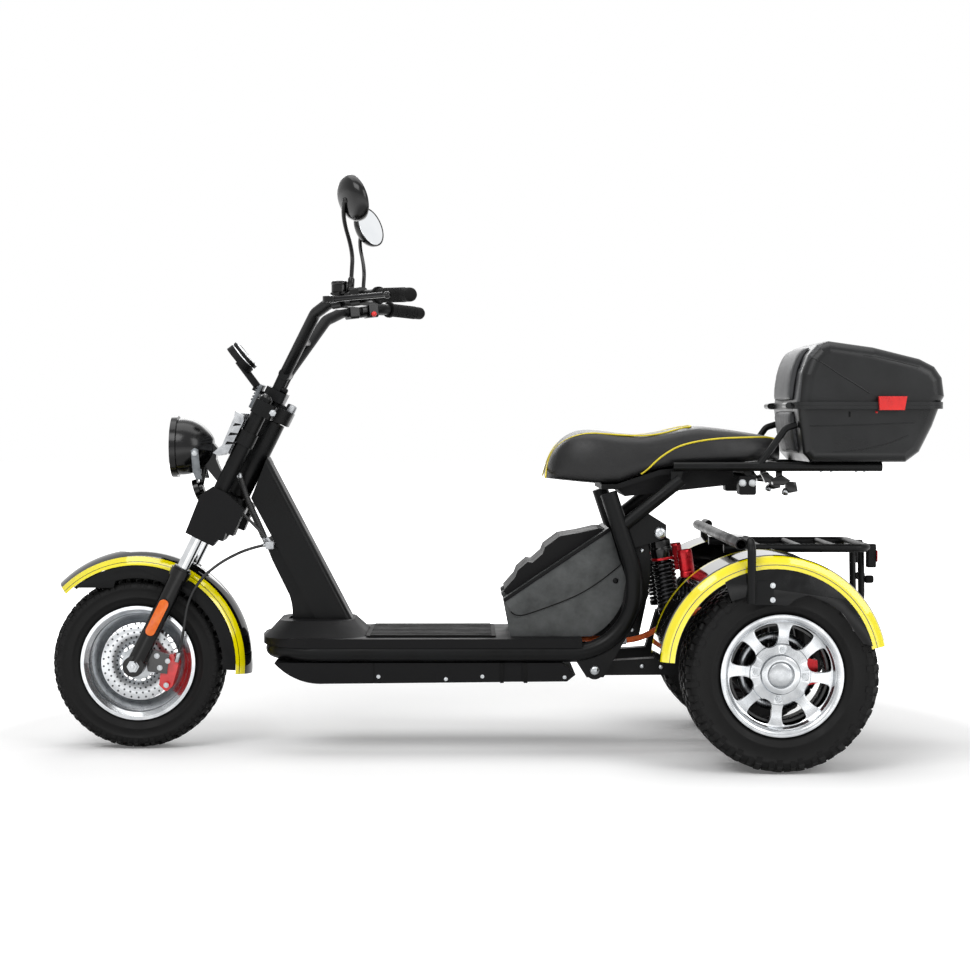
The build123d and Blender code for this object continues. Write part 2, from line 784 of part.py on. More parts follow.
# Main frame tubes: a loop round the floor that sweeps up behind the battery housing to the seat
stay_foot = (-316, 548)
stay_head = (-448, 654)
lug_thickness = 12
lug_pin_radius = 7
shock_plate = (139.5, 147)
rail_bends = [rail_corner, 148, 190]


def rail_path(side):
    y = side * rail_spread
    return [
        (rail_front_x, 0, rail_height),
        (rail_front_x, y, rail_height),
        (rail_rear_x, y, rail_height - 2),
        (rail_rear_x, y, 436),
        (seat_rail_top[0], y, seat_rail_top[1]),
    ]


for side, name in ((1, "left"), (-1, "right")):
    y = side * rail_spread
    with BuildPart() as frame_rail:
        add_tube(rail_path(side), rail_radius, rail_bends)
        add_rod((stay_foot[0], y, stay_foot[1]), (stay_head[0], y, stay_head[1]), stay_radius)
        with BuildSketch(side_plane(y)):
            with BuildLine():
                Polyline((-192, 240), (-226, 188), (-266, 188), (-330, 300), (-192, 240))
            make_face()
            with Locations(swing_pivot):
                Circle(22)
        extrude(amount=lug_thickness / 2, both=True)
        with BuildSketch(side_plane(y)):
            with BuildLine():
                Polyline((-452, 673.7), (-424, 673.7), (-424, 640), (-440, 626), (-452, 673.7))
            make_face()
        extrude(amount=5, both=True)
        with BuildSketch(side_plane(side * shock_plate[0])):
            with BuildLine():
                Polyline((-326, 490), (-326, 556), (-366, 578), (-414, 548), (-414, 518), (-390, 508), (-326, 490))
            make_face()
        extrude(amount=-side * (shock_plate[1] - shock_plate[0]))
        add_rod(
            (shock_top[0], side * shock_plate[1], shock_top[1]),
            (shock_top[0], side * (shock_spread - 18), shock_top[1]),
            8,
        )
        with BuildSketch(side_plane(y)):
            with Locations(swing_pivot):
                Circle(lug_pin_radius + running_gap)
        extrude(amount=40, both=True, mode=Mode.SUBTRACT)
    save(frame_rail, f"frame_rail_{name}")

# Floor moulding with the raised nose round the foot of the neck
deck_half = rail_spread + 18
nose_top = 315
with BuildPart() as deck_shell:
    with BuildSketch(Plane.XY.offset(deck_top - deck_edge_height)):
        with BuildLine():
            Line((deck_rear_x, -deck_half), (rail_front_x - 84, -deck_half))
            ThreePointArc((rail_front_x - 84, -deck_half), (rail_front_x - 8, -118), (rail_front_x + 26, 0))
            ThreePointArc((rail_front_x + 26, 0), (rail_front_x - 8, 118), (rail_front_x - 84, deck_half))
            Polyline((rail_front_x - 84, deck_half), (deck_rear_x, deck_half), (deck_rear_x, -deck_half))
        make_face()
    extrude(amount=deck_edge_height)
    with BuildSketch(Plane.XY.offset(deck_top - 1)):
        with Locations((neck_foot_x, 0)):
            RectangleRounded(246, 300, 60)
    with BuildSketch(Plane.XY.offset(nose_top)):
        with Locations((neck_foot_x, 0)):
            RectangleRounded(180, 190, 50)
    loft()
    with BuildSketch(side_plane(0)):
        with BuildLine():
            Polyline(*neck_profile)
        make_face()
        offset(amount=seat_gap)
    extrude(amount=neck_width / 2 + seat_gap, both=True, mode=Mode.SUBTRACT)
    with BuildSketch(Plane.XY.offset(deck_top)):
        with Locations((neck_foot_x, 0)):
            RectangleRounded(foot_length + 2, neck_width + 2 * foot_margin + 2, 20)
    extrude(amount=foot_height + seat_gap, mode=Mode.SUBTRACT)
    with BuildSketch(Plane.XY.offset(deck_top + foot_height)):
        with Locations((neck_foot_x + 10, 0)):
            Rectangle(120, neck_width - 2 * gusset_inset + 2 * seat_gap)
    extrude(amount=60, mode=Mode.SUBTRACT)
    for side in (1, -1):
        add_tube(rail_path(side), rail_radius + seat_gap, rail_bends, mode=Mode.SUBTRACT)
save(deck_shell, "deck_shell")

# Ribbed rubber mat
mat_front_x = 296
mat_rear_x = -12
mat_width = 268
mat_rib_count = 9
with BuildPart() as deck_mat:
    mat_length = mat_front_x - mat_rear_x
    mat_middle = (mat_front_x + mat_rear_x) / 2
    with BuildSketch(Plane.XY.offset(deck_top + seat_gap)):
        with Locations((mat_middle, 0)):
            RectangleRounded(mat_length, mat_width, 12)
    extrude(amount=mat_thickness - 2)
    with BuildSketch(Plane.XY.offset(deck_top + seat_gap + mat_thickness - 2)):
        with Locations((mat_middle, 0)):
            with GridLocations(0, mat_width / mat_rib_count, 1, mat_rib_count):
                Rectangle(mat_length - 20, mat_width / mat_rib_count - 12)
    extrude(amount=2)
save(deck_mat, "deck_mat")

# Closed belly box under the floor, with the seams between its side panels
core_half = rail_spread - rail_radius - seat_gap
panel_half = rail_spread + 4
seam_width = 3
with BuildPart() as belly_box:
    with BuildSketch(side_plane(0)):
        with BuildLine():
            ThreePointArc((511, belly_top), (462, 186), (392, belly_bottom))
            Polyline((392, belly_bottom), (-180, belly_bottom + 5), (-200, 194), (-168, belly_top), (511, belly_top))
        make_face()
    extrude(amount=panel_half, both=True)
    for side in (1, -1):
        for seam_x, width in ((276, seam_width), (-48, 54)):
            with BuildSketch(Plane.XY.offset(belly_bottom - 5)):
                with Locations((seam_x, side * panel_half)):
                    Rectangle(width, 8)
            extrude(amount=belly_top - belly_bottom + 10, mode=Mode.SUBTRACT)
    with BuildSketch(Plane.XY.offset(belly_top - 1)):
        with Locations((95, 0)):
            Rectangle(600, 2 * core_half)
    extrude(amount=deck_top - deck_edge_height - belly_top + 1 - seat_gap)
save(belly_box, "belly_box")

# Battery housing: a hollow bay between the rails, open under its cover
housing_wall = 5
slope_front = (-29, 370)
slope_rear = (-280, 539)
housing_base_z = deck_top + seat_gap
slope_angle = math.degrees(math.atan2(slope_rear[1] - slope_front[1], slope_front[0] - slope_rear[0]))
slope_length = math.hypot(slope_rear[1] - slope_front[1], slope_front[0] - slope_rear[0])
slope_along = Vector(-math.cos(math.radians(slope_angle)), 0, math.sin(math.radians(slope_angle)))
slope_up = Vector(slope_along.Z, 0, -slope_along.X)
bay_half = 80
bay_margin = 18
cover_hinge = 6
cover_hinge_y = 58
cover_barrel_radius = 5
cover_pin_radius = 2.5
cover_barrel_length = 26
cover_ear_length = 6


def slope_plane(along, up):
    origin = Vector(slope_front[0], 0, slope_front[1]) + slope_along * along + slope_up * up
    return Plane(origin=origin, x_dir=slope_along, z_dir=slope_up)


def slope_point(along, up):
    point = slope_plane(along, up).origin
    return (point.X, point.Z)


with BuildPart() as battery_housing:
    with BuildSketch(side_plane(0)) as housing_side:
        with BuildLine():
            Polyline((-240, housing_base_z), (-46, housing_base_z), slope_front, slope_rear, (-323, 415))
            ThreePointArc((-323, 415), (-303, 340), (-240, housing_base_z))
        make_face()
    extrude(amount=housing_width / 2, both=True)
    with BuildSketch(side_plane(0)):
        with BuildLine():
            Polyline((-240, housing_base_z), (-46, housing_base_z), slope_front, slope_rear, (-323, 415))
            ThreePointArc((-323, 415), (-303, 340), (-240, housing_base_z))
        make_face()
        offset(amount=-housing_wall, kind=Kind.INTERSECTION)
    extrude(amount=housing_width / 2 - housing_wall, both=True, mode=Mode.SUBTRACT)
    with BuildSketch(slope_plane(slope_length / 2, -housing_wall * 2)):
        Rectangle(slope_length - 2 * bay_margin, 2 * bay_half)
    extrude(amount=housing_wall * 3, mode=Mode.SUBTRACT)
    for side in (1, -1):
        for shift in (-1, 1):
            ear_y = side * cover_hinge_y + shift * (cover_barrel_length + cover_ear_length + 2 * seat_gap) / 2
            with BuildSketch(side_plane(ear_y)):
                with Locations(slope_point(cover_hinge, cover_hinge)):
                    Circle(cover_barrel_radius)
                with BuildLine():
                    Polyline(
                        slope_point(cover_hinge - cover_barrel_radius, -1),
                        slope_point(cover_hinge + cover_barrel_radius, -1),
                        slope_point(cover_hinge + cover_barrel_radius, cover_hinge),
                        slope_point(cover_hinge - cover_barrel_radius, cover_hinge),
                        close=True,
                    )
                make_face()
            extrude(amount=cover_ear_length / 2, both=True)
        with BuildSketch(side_plane(side * cover_hinge_y)):
            with Locations(slope_point(cover_hinge, cover_hinge)):
                Circle(cover_pin_radius)
        extrude(amount=cover_barrel_length / 2 + cover_ear_length, both=True)
save(battery_housing, "battery_housing")

# Ribbed cover over the bay, hinged along its lower front edge
cover_half = cover_width / 2
cover_steps = [(14, 14), (52, 24), (66, 34), (98, 38), (106, 30), (138, 34), (152, 44), (196, 46), (240, 26), (282, 10)]
with BuildPart() as battery_cover:
    with BuildSketch(side_plane(0)):
        with BuildLine():
            outline_points = [slope_point(12, seat_gap)]
            outline_points += [slope_point(along, up) for along, up in cover_steps]
            outline_points += [slope_point(slope_length - 8, seat_gap), slope_point(12, seat_gap)]
            Polyline(*outline_points)
        make_face()
    extrude(amount=cover_half, both=True)
    for side in (1, -1):
        with BuildSketch(side_plane(side * cover_hinge_y)):
            with Locations(slope_point(cover_hinge, cover_hinge)):
                Circle(cover_barrel_radius)
            with BuildLine():
                Polyline(
                    slope_point(cover_hinge, 1.5),
                    slope_point(14, 1.5),
                    slope_point(14, cover_hinge + cover_barrel_radius),
                    slope_point(cover_hinge, cover_hinge + cover_barrel_radius),
                    close=True,
                )
            make_face()
        extrude(amount=cover_barrel_length / 2, both=True)
        with BuildSketch(side_plane(side * cover_hinge_y)):
            with Locations(slope_point(cover_hinge, cover_hinge)):
                Circle(cover_pin_radius + running_gap)
        extrude(amount=cover_barrel_length, both=True, mode=Mode.SUBTRACT)
save(battery_cover, "battery_cover")

# Seat cushion: one closed soft solid with a raised pillion
seat_half = seat_width / 2 + 6
with BuildPart() as seat:
    with BuildSketch(side_plane(0)):
        with BuildLine():
            Polyline((-133, 653), (-133, 685))
            Spline((-133, 685), (-170, 746), (-243, 771), (-364, 760), (-473, 780), (-558, 773), (-685, 754))
            Polyline((-685, 754), (-694, 740), (-688, 699), (-577, 691), (-494, 686), (-400, 677))
            Polyline((-400, 677), (-298, 643), (-258, 643), (-133, 653))
        make_face()
    extrude(amount=seat_half, both=True)
    with BuildSketch(Plane.XY.offset(600)):
        with BuildLine():
            Spline((-120, -70), (-240, -seat_half), (-420, -seat_half), (-560, -seat_half + 12), (-700, -96))
            Line((-700, -96), (-700, 96))
            Spline((-700, 96), (-560, seat_half - 12), (-420, seat_half), (-240, seat_half), (-120, 70))
            Line((-120, 70), (-120, -70))
        make_face()
    extrude(amount=300, mode=Mode.INTERSECT)
save(seat, "seat")

# Tray under the seat
with BuildPart() as seat_tray:
    with BuildSketch(side_plane(0)):
        with BuildLine():
            Polyline(
                (-262, 642.7),
                (-298, 642.7),
                (-400, 676.7),
                (-494, 685.7),
                (-577, 690.7),
                (-577, 678),
                (-494, 673),
                (-400, 664),
                (-298, 630.7),
                (-262, 630.7),
                (-262, 642.7),
            )
        make_face()
    extrude(amount=rail_spread - 16 - subframe_radius - seat_gap, both=True)
    with BuildSketch(side_plane(0)):
        with BuildLine():
            Polyline((-300, 632), (-320, 613), (-577, 641), (-577, 680), (-494, 675), (-400, 666), (-300, 632))
        make_face()
    extrude(amount=98, both=True)
    with BuildSketch(side_plane(0)):
        with BuildLine():
            Polyline((-470, 683), (-494, 685.7), (-577, 690.7), (-577, 678), (-494, 673), (-470, 671), close=True)
        make_face()
    extrude(amount=rail_spread - subframe_radius - seat_gap, both=True)
save(seat_tray, "seat_tray")

# Rear subframe: two rails under the pillion and the box, cross tubes and the two backrest stays
subframe_front_x = -430
cross_tubes = [(-606, 672), (-690, subframe_height), (-860, subframe_height)]
cross_radius = 9
with BuildPart() as rear_subframe:
    for side in (1, -1):
        y = side * rail_spread
        add_rod((subframe_front_x, y, subframe_height), (subframe_rear_x, y, subframe_height), subframe_radius)
        add_tube(
            [
                (-628, y, subframe_height),
                (-662, y, 730),
                (-694, y, 776),
                (box_front_x - 4, y, 784),
            ],
            8,
            [40, 20],
        )
    for x, z in cross_tubes:
        add_rod((x, 4 - rail_spread, z), (x, rail_spread - 4, z), cross_radius)
save(rear_subframe, "rear_subframe")

# Top box: a tapered base and a sloped lid of one wall thickness, meeting at a rolled lip
base_half = box_half_width - 8
box_bottom = subframe_height + subframe_radius + seat_gap
lip_front_x = box_front_x + lip_overhang
lip_rear_x = box_rear_x - lip_overhang
hinge_x = -698
hinge_radius = 7
hinge_pin_radius = 3
knuckle_length = 18
knuckle_y = 136
split_gap = seat_gap / 2
box_base_profile = [
    (box_front_x, box_split - split_gap),
    (box_front_x - 16, 716),
    (box_front_x - 34, box_bottom),
    (-972, box_bottom),
    (-1004, 720),
    (-1034, 780),
    (box_rear_x, box_split - split_gap),
]
with BuildPart() as box_base:
    with BuildSketch(side_plane(0)):
        with BuildLine():
            Polyline(*box_base_profile, close=True)
        make_face()
    extrude(amount=base_half, both=True)
    fillet(edges().filter_by(lambda edge: abs(edge.center().Y) > base_half - 1 and edge.center().Z < 825), 22)
    offset(amount=-box_wall, openings=faces().sort_by(Axis.Z)[-1])
    with BuildSketch(Plane.XY.offset(box_split - split_gap)):
        with Locations(((lip_front_x + lip_rear_x) / 2, 0)):
            RectangleRounded(lip_front_x - lip_rear_x, 2 * (box_half_width + lip_overhang), 40)
            Rectangle(box_front_x - box_rear_x - 2 * box_wall, 2 * (base_half - box_wall), mode=Mode.SUBTRACT)
    extrude(amount=-lip_height / 2)
    for side in (1, -1):
        for shift in (-1, 1):
            middle = side * knuckle_y + shift * (knuckle_length + seat_gap)
            with BuildSketch(side_plane(middle)):
                with Locations((hinge_x, box_split)):
                    Circle(hinge_radius)
                with BuildLine():
                    Polyline(
                        (hinge_x - 2, box_split - 1),
                        (lip_front_x - 4, box_split - 1),
                        (lip_front_x - 4, box_split - lip_height / 2),
                        (hinge_x - 2, box_split - hinge_radius),
                        (hinge_x - 2, box_split - 1),
                    )
                make_face()
            extrude(amount=knuckle_length / 2, both=True)
        reach = 1.5 * knuckle_length
        with BuildSketch(side_plane(side * knuckle_y)):
            with Locations((hinge_x, box_split)):
                Circle(hinge_pin_radius)
        extrude(amount=reach, both=True)
save(box_base, "box_base")

box_lid_profile = [
    (box_front_x, box_split + split_gap),
    (-726, 905),
    (-742, 948),
    (-764, 972),
    (-790, box_top),
    (-896, 965),
    (-1005, 938),
    (-1040, 920),
    (-1058, 894),
    (-1064, 850),
    (box_rear_x, box_split + split_gap),
]
with BuildPart() as box_lid:
    with BuildSketch(side_plane(0)):
        with BuildLine():
            Polyline(*box_lid_profile, close=True)
        make_face()
    extrude(amount=base_half, both=True)
    fillet(edges().filter_by(lambda edge: abs(edge.center().Y) > base_half - 1 and edge.center().Z > 832), 30)
    offset(amount=-box_wall, openings=faces().sort_by(Axis.Z)[0])
    with BuildSketch(Plane.XY.offset(box_split + split_gap)):
        with Locations(((lip_front_x + lip_rear_x) / 2, 0)):
            RectangleRounded(lip_front_x - lip_rear_x, 2 * (box_half_width + lip_overhang), 40)
            Rectangle(box_front_x - box_rear_x - 2 * box_wall, 2 * (base_half - box_wall), mode=Mode.SUBTRACT)
    extrude(amount=lip_height / 2)
    for side in (1, -1):
        with BuildSketch(side_plane(side * knuckle_y)):
            with Locations((hinge_x, box_split)):
                Circle(hinge_radius)
            with BuildLine():
                Polyline(
                    (hinge_x - 2, box_split + 1),
                    (lip_front_x - 4, box_split + 1),
                    (lip_front_x - 4, box_split + lip_height / 2),
                    (hinge_x - 2, box_split + hinge_radius),
                    (hinge_x - 2, box_split + 1),
                )
            make_face()
        extrude(amount=knuckle_length / 2, both=True)
        with BuildSketch(side_plane(side * knuckle_y)):
            with Locations((hinge_x, box_split)):
                Circle(hinge_pin_radius + running_gap)
        extrude(amount=knuckle_length, both=True, mode=Mode.SUBTRACT)
save(box_lid, "box_lid")

# Padded backrest, one part on the lid and one on the base
pad_half = 118
with BuildPart() as lid_pad:
    with BuildSketch(side_plane(0)):
        with BuildLine():
            Polyline(
                (box_front_x + seat_gap, box_split + 14),
                (-726 + seat_gap, 905),
                (-742 + seat_gap, 948),
                (-755, 964),
                (-742, 966),
                (-726, 952),
                (-711, 912),
                (-703, box_split + 20),
                (-706, box_split + 14),
                (box_front_x + seat_gap, box_split + 14),
            )
        make_face()
    extrude(amount=pad_half, both=True)
save(lid_pad, "lid_pad")

with BuildPart() as box_pad:
    with BuildSketch(side_plane(0)):
        with BuildLine():
            Polyline(
                (box_front_x - 2 + seat_gap, box_split - 14),
                (-707, box_split - 16),
                (-705, box_split - 28),
                (-710, 770),
                (-722, 722),
                (-730, 716),
                (box_front_x - 16 + seat_gap, 716),
                (box_front_x - 2 + seat_gap, box_split - 14),
            )
        make_face()
    extrude(amount=pad_half, both=True)
save(box_pad, "box_pad")

# Red over-centre latches on the lid's lip, one each side
latch_x = -932
with BuildPart() as box_latches:
    for side in (1, -1):
        with BuildSketch(side_plane(side * (box_half_width + lip_overhang + seat_gap))):
            with BuildLine():
                Polyline((latch_x + 32, 850), (latch_x + 30, 818), (latch_x - 28, 818), (latch_x - 34, 850), close=True)
            make_face()
        extrude(amount=-side * 9)
        with BuildSketch(side_plane(side * (box_half_width + lip_overhang + seat_gap))):
            with Locations((latch_x - 1, 844)):
                Rectangle(60, 11)
        extrude(amount=side * 12)
save(box_latches, "box_latches")

# Swing arm: two box arms from a pivot tube to clamps round the axle tube
arm_half_width = 16
arm_spread = shock_spread
clamp_radius = 44
pivot_tube_radius = 15
with BuildPart() as swing_arm:
    pivot_half = rail_spread - lug_thickness / 2 - seat_gap
    add_rod((swing_pivot[0], -pivot_half, swing_pivot[1]), (swing_pivot[0], pivot_half, swing_pivot[1]), pivot_tube_radius)
    for side in (1, -1):
        with BuildSketch(side_plane(side * arm_spread)):
            with BuildLine():
                Polyline(
                    (swing_pivot[0], swing_pivot[1] + 16),
                    (-430, 232),
                    (rear_axle_x + 20, rear_axle_z + 34),
                    (rear_axle_x + 20, rear_axle_z - 34),
                    (-430, 190),
                    (swing_pivot[0], swing_pivot[1] - 16),
                    close=True,
                )
            make_face()
            with Locations((rear_axle_x, rear_axle_z)):
                Circle(clamp_radius)
        extrude(amount=arm_half_width, both=True)
        for shift in (-1, 1):
            with BuildSketch(side_plane(side * arm_spread + shift * (arm_half_width - 3))):
                with BuildLine():
                    Polyline((-385, 220), (-415, 322), (-447, 322), (-500, 226), close=True)
                make_face()
            extrude(amount=2.5, both=True)
    add_rod((-470, -arm_spread, 214), (-470, arm_spread, 214), 12)
    add_rod(
        (shock_bottom[0], -arm_spread - arm_half_width, shock_bottom[1]),
        (shock_bottom[0], -arm_spread + arm_half_width, shock_bottom[1]),
        6,
    )
    add_rod(
        (shock_bottom[0], arm_spread - arm_half_width, shock_bottom[1]),
        (shock_bottom[0], arm_spread + arm_half_width, shock_bottom[1]),
        6,
    )
    with BuildSketch(side_plane(0)):
        with Locations((rear_axle_x, rear_axle_z)):
            Circle(axle_tube_radius + seat_gap)
    extrude(amount=200, both=True, mode=Mode.SUBTRACT)
    with BuildSketch(side_plane(0)):
        with Locations((swing_pivot[0], swing_pivot[1])):
            Circle(lug_pin_radius + running_gap)
    extrude(amount=200, both=True, mode=Mode.SUBTRACT)
save(swing_arm, "swing_arm")

# Motor and gear housing in the middle of a tubular axle with stub ends
hub_inner_y = rear_wheel_y + wheel_face_y - 60
with BuildPart() as motor_axle:
    with BuildSketch(side_plane(0)):
        with Locations((rear_axle_x, rear_axle_z)):
            Circle(motor_radius)
    extrude(amount=motor_width / 2, both=True)
    fillet(edges().filter_by(GeomType.CIRCLE), 16)
    tube_half = hub_inner_y - disc_thickness - 1
    add_rod((rear_axle_x, -tube_half, rear_axle_z), (rear_axle_x, tube_half, rear_axle_z), axle_tube_radius)
    stub_half = hub_inner_y + stub_length
    add_rod((rear_axle_x, -stub_half, rear_axle_z), (rear_axle_x, stub_half, rear_axle_z), stub_radius)
save(motor_axle, "motor_axle")

# Shock absorbers: damper, coil and piggyback reservoir
shock_run = Vector(shock_top[0] - shock_bottom[0], 0, shock_top[1] - shock_bottom[1])
shock_dir = shock_run.normalized()
shock_length = shock_run.length
coil_turns = 7
coil_wire = 9
damper_radius = spring_radius - 7
cap_bottom = shock_length - 46
cap_top = shock_length - 14
seat_top_of_coil = 32
coil_pitch = (cap_bottom - seat_top_of_coil - 8) / coil_turns
shock_outline = [(0, 0), (9, 0), (9, 18), (spring_radius + 2, 20), (spring_radius + 2, seat_top_of_coil)]
shock_outline += [(damper_radius, seat_top_of_coil)]
for turn in range(coil_turns):
    low = seat_top_of_coil + 6 + turn * coil_pitch
    shock_outline += [(damper_radius, low), (spring_radius, low + 2), (spring_radius, low + coil_wire - 2)]
    shock_outline += [(damper_radius, low + coil_wire)]
shock_outline += [(damper_radius, cap_bottom), (spring_radius, cap_bottom), (spring_radius, cap_top)]
shock_outline += [(9, cap_top + 4), (9, shock_length), (0, shock_length)]
for side, name in ((1, "left"), (-1, "right")):
    foot = Vector(shock_bottom[0], side * shock_spread, shock_bottom[1])
    with BuildPart() as shock:
        with BuildSketch(Plane(origin=foot, x_dir=(0, 1, 0), z_dir=(shock_dir.Z, 0, -shock_dir.X))):
            with BuildLine():
                Polyline(*shock_outline, close=True)
            make_face()
        revolve(axis=Axis(tuple(foot), tuple(shock_dir)))
        for end in (foot, foot + shock_run):
            with BuildSketch(Plane(origin=end, z_dir=(0, 1, 0))):
                Circle(15)
            extrude(amount=10, both=True)
        reservoir_foot = foot + shock_dir * (shock_length - 108) + Vector(-54, side * 4, 0)
        with BuildSketch(Plane(origin=reservoir_foot, z_dir=shock_dir)):
            Circle(18)
        extrude(amount=66)
        add_rod(
            tuple(foot + shock_dir * (shock_length - 30)),
            tuple(reservoir_foot + shock_dir * 60 + Vector(2, 0, 6)),
            9,
        )
        with BuildSketch(side_plane(foot.Y)):
            with Locations(shock_bottom):
                Circle(6 + seat_gap)
            with Locations(shock_top):
                Circle(8 + seat_gap)
        extrude(amount=30, both=True, mode=Mode.SUBTRACT)
    save(shock, f"shock_{name}")

# Rear fenders: a flat crown rolled into an outer skirt, with a deeper side panel to the rear
fender_centre = (fender_centre_x, 0, fender_centre_z)
fender_start = 4
fender_arc = 164
fender_roll = 16
panel_start = 62
panel_arc = 92
panel_drop = 60
for side, name in ((1, "left"), (-1, "right")):
    crown = fender_radius
    outer = side * fender_outer_y
    inner = side * fender_inner_y
    with BuildPart() as rear_fender:
        with BuildSketch(spin_plane(fender_centre, fender_start)):
            with BuildLine():
                Polyline(
                    (crown - 8, inner),
                    (crown, inner),
                    (crown, outer - side * fender_roll),
                    (crown - fender_roll * 0.3, outer - side * fender_roll * 0.3),
                    (crown - fender_roll, outer),
                    (crown - fender_skirt, outer),
                    (crown - fender_skirt, outer - side * fender_wall),
                    (crown - fender_roll, outer - side * fender_wall),
                    (crown - fender_wall, outer - side * fender_roll),
                    (crown - fender_wall, inner + side * fender_wall),
                    (crown - 8, inner + side * fender_wall),
                    (crown - 8, inner),
                )
            make_face()
        revolve(axis=Axis(fender_centre, (0, -1, 0)), revolution_arc=fender_arc)
        with BuildSketch(spin_plane(fender_centre, panel_start)):
            with BuildLine():
                Polyline(
                    (crown - fender_skirt + 4, outer),
                    (crown - panel_drop, outer),
                    (crown - panel_drop, outer - side * fender_wall),
                    (crown - fender_skirt + 4, outer - side * fender_wall),
                    close=True,
                )
            make_face()
        revolve(axis=Axis(fender_centre, (0, -1, 0)), revolution_arc=panel_arc)
    save(rear_fender, f"rear_fender_{name}")

# Guard bar over the fenders: an open cross tube, bent side tubes and their bolted plates
guard_half = 404
guard_side_y = 431
guard_side_x = -574
with BuildPart() as guard_bar:
    with BuildSketch(Plane(origin=(guard_x, -guard_half, guard_height), z_dir=(0, 1, 0))):
        Circle(guard_radius)
        Circle(guard_radius - 2.5, mode=Mode.SUBTRACT)
    extrude(amount=2 * guard_half)
    for side in (1, -1):
        add_tube(
            [
                (guard_side_x, side * 330, guard_height + 6),
                (guard_side_x, side * guard_side_y, guard_height + 6),
                (guard_side_x, side * guard_side_y, 389),
            ],
            9.5,
            [26],
        )
        with BuildSketch(side_plane(side * (fender_outer_y + seat_gap))):
            with Locations((guard_side_x - 22, 412)):
                RectangleRounded(56, 52, 8)
        extrude(amount=-side * (guard_side_y - fender_outer_y - 9 + 2))
save(guard_bar, "guard_bar")

# Luggage rack over the axle on legs from the axle tube
rack_front_x = -560
rack_rear_x = -893
rack_leg_x = rear_axle_x
with BuildPart() as rear_rack:
    for side in (1, -1):
        add_tube(
            [
                (guard_x + 4, side * rack_spread, rack_height - 3),
                (rack_rear_x, side * rack_spread, rack_height - 3),
                (rack_rear_x, 0, rack_height - 3),
            ],
            rack_radius,
            [30],
        )
        add_rod(
            (rack_leg_x, side * rack_spread, rear_axle_z + axle_tube_radius + seat_gap),
            (rack_leg_x, side * rack_spread, rack_height - 3),
            rack_radius - 1,
        )
        add_tube(
            [
                (rack_rear_x, side * 51, rack_height - 3),
                (rack_rear_x - 3, side * 51, 352),
                (rack_rear_x - 3, 0, 352),
            ],
            8,
            [30],
        )
        for x in (-600, -660):
            reach = fender_inner_y - seat_gap
            add_rod((x, side * rack_spread, rack_height - 8), (x, side * reach, rack_height - 9), 6)
    for x in (-640, -737, -820):
        add_rod((x, -rack_spread, rack_height - 3), (x, rack_spread, rack_height - 3), 8)
save(rear_rack, "rear_rack")

# Tail lamps on the rack's rear loop and the twin work lamps under the subframe
with BuildPart() as rear_lamps:
    for side in (1, -1):
        with BuildSketch(Plane(origin=(rack_rear_x - rack_radius - seat_gap, side * 78, 470), z_dir=(-1, 0, 0))):
            RectangleRounded(56, 34, 6)
        extrude(amount=18)
    with BuildSketch(Plane(origin=(-606, 0, 640), z_dir=(0, 1, 0))):
        RectangleRounded(44, 40, 5)
    extrude(amount=rail_spread - 6, both=True)
    with BuildSketch(Plane.XY.offset(655)):
        with Locations((-606, 0)):
            Rectangle(30, 2 * (rail_spread - 36))
    extrude(amount=672 - cross_radius - seat_gap - 655)
    with BuildSketch(Plane.XY.offset(600)):
        with Locations((-606, 0)):
            Rectangle(60, 2 * (rail_spread - 48))
    extrude(amount=56, mode=Mode.SUBTRACT)
save(rear_lamps, "rear_lamps")

# Rear brake calipers on arms from the axle tube
with BuildPart() as rear_calipers:
    for side in (1, -1):
        disc_middle = side * (rear_wheel_y - 20 + disc_thickness / 2)
        with BuildSketch(side_plane(disc_middle)):
            with BuildLine():
                Polyline(
                    (rear_axle_x - 56, rear_axle_z + 34),
                    (rear_axle_x - 92, rear_axle_z + 26),
                    (rear_axle_x - 94, rear_axle_z - 26),
                    (rear_axle_x - 56, rear_axle_z - 34),
                    close=True,
                )
            make_face()
        extrude(amount=17, both=True)
        with BuildSketch(side_plane(disc_middle)):
            with Locations((rear_axle_x, rear_axle_z)):
                Circle(disc_radius + 5)
        extrude(amount=disc_thickness / 2 + 3, both=True, mode=Mode.SUBTRACT)
        with BuildSketch(side_plane(side * (rear_wheel_y - 38))):
            with Locations((rear_axle_x, rear_axle_z)):
                Circle(axle_tube_radius + 12)
            with Locations((rear_axle_x - 50, rear_axle_z)):
                Rectangle(60, 44)
            with Locations((rear_axle_x, rear_axle_z)):
                Circle(axle_tube_radius + seat_gap, mode=Mode.SUBTRACT)
        extrude(amount=5, both=True)
save(rear_calipers, "rear_calipers")
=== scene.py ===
import bpy
import bmesh
import math
from mathutils import Matrix, Vector, noise


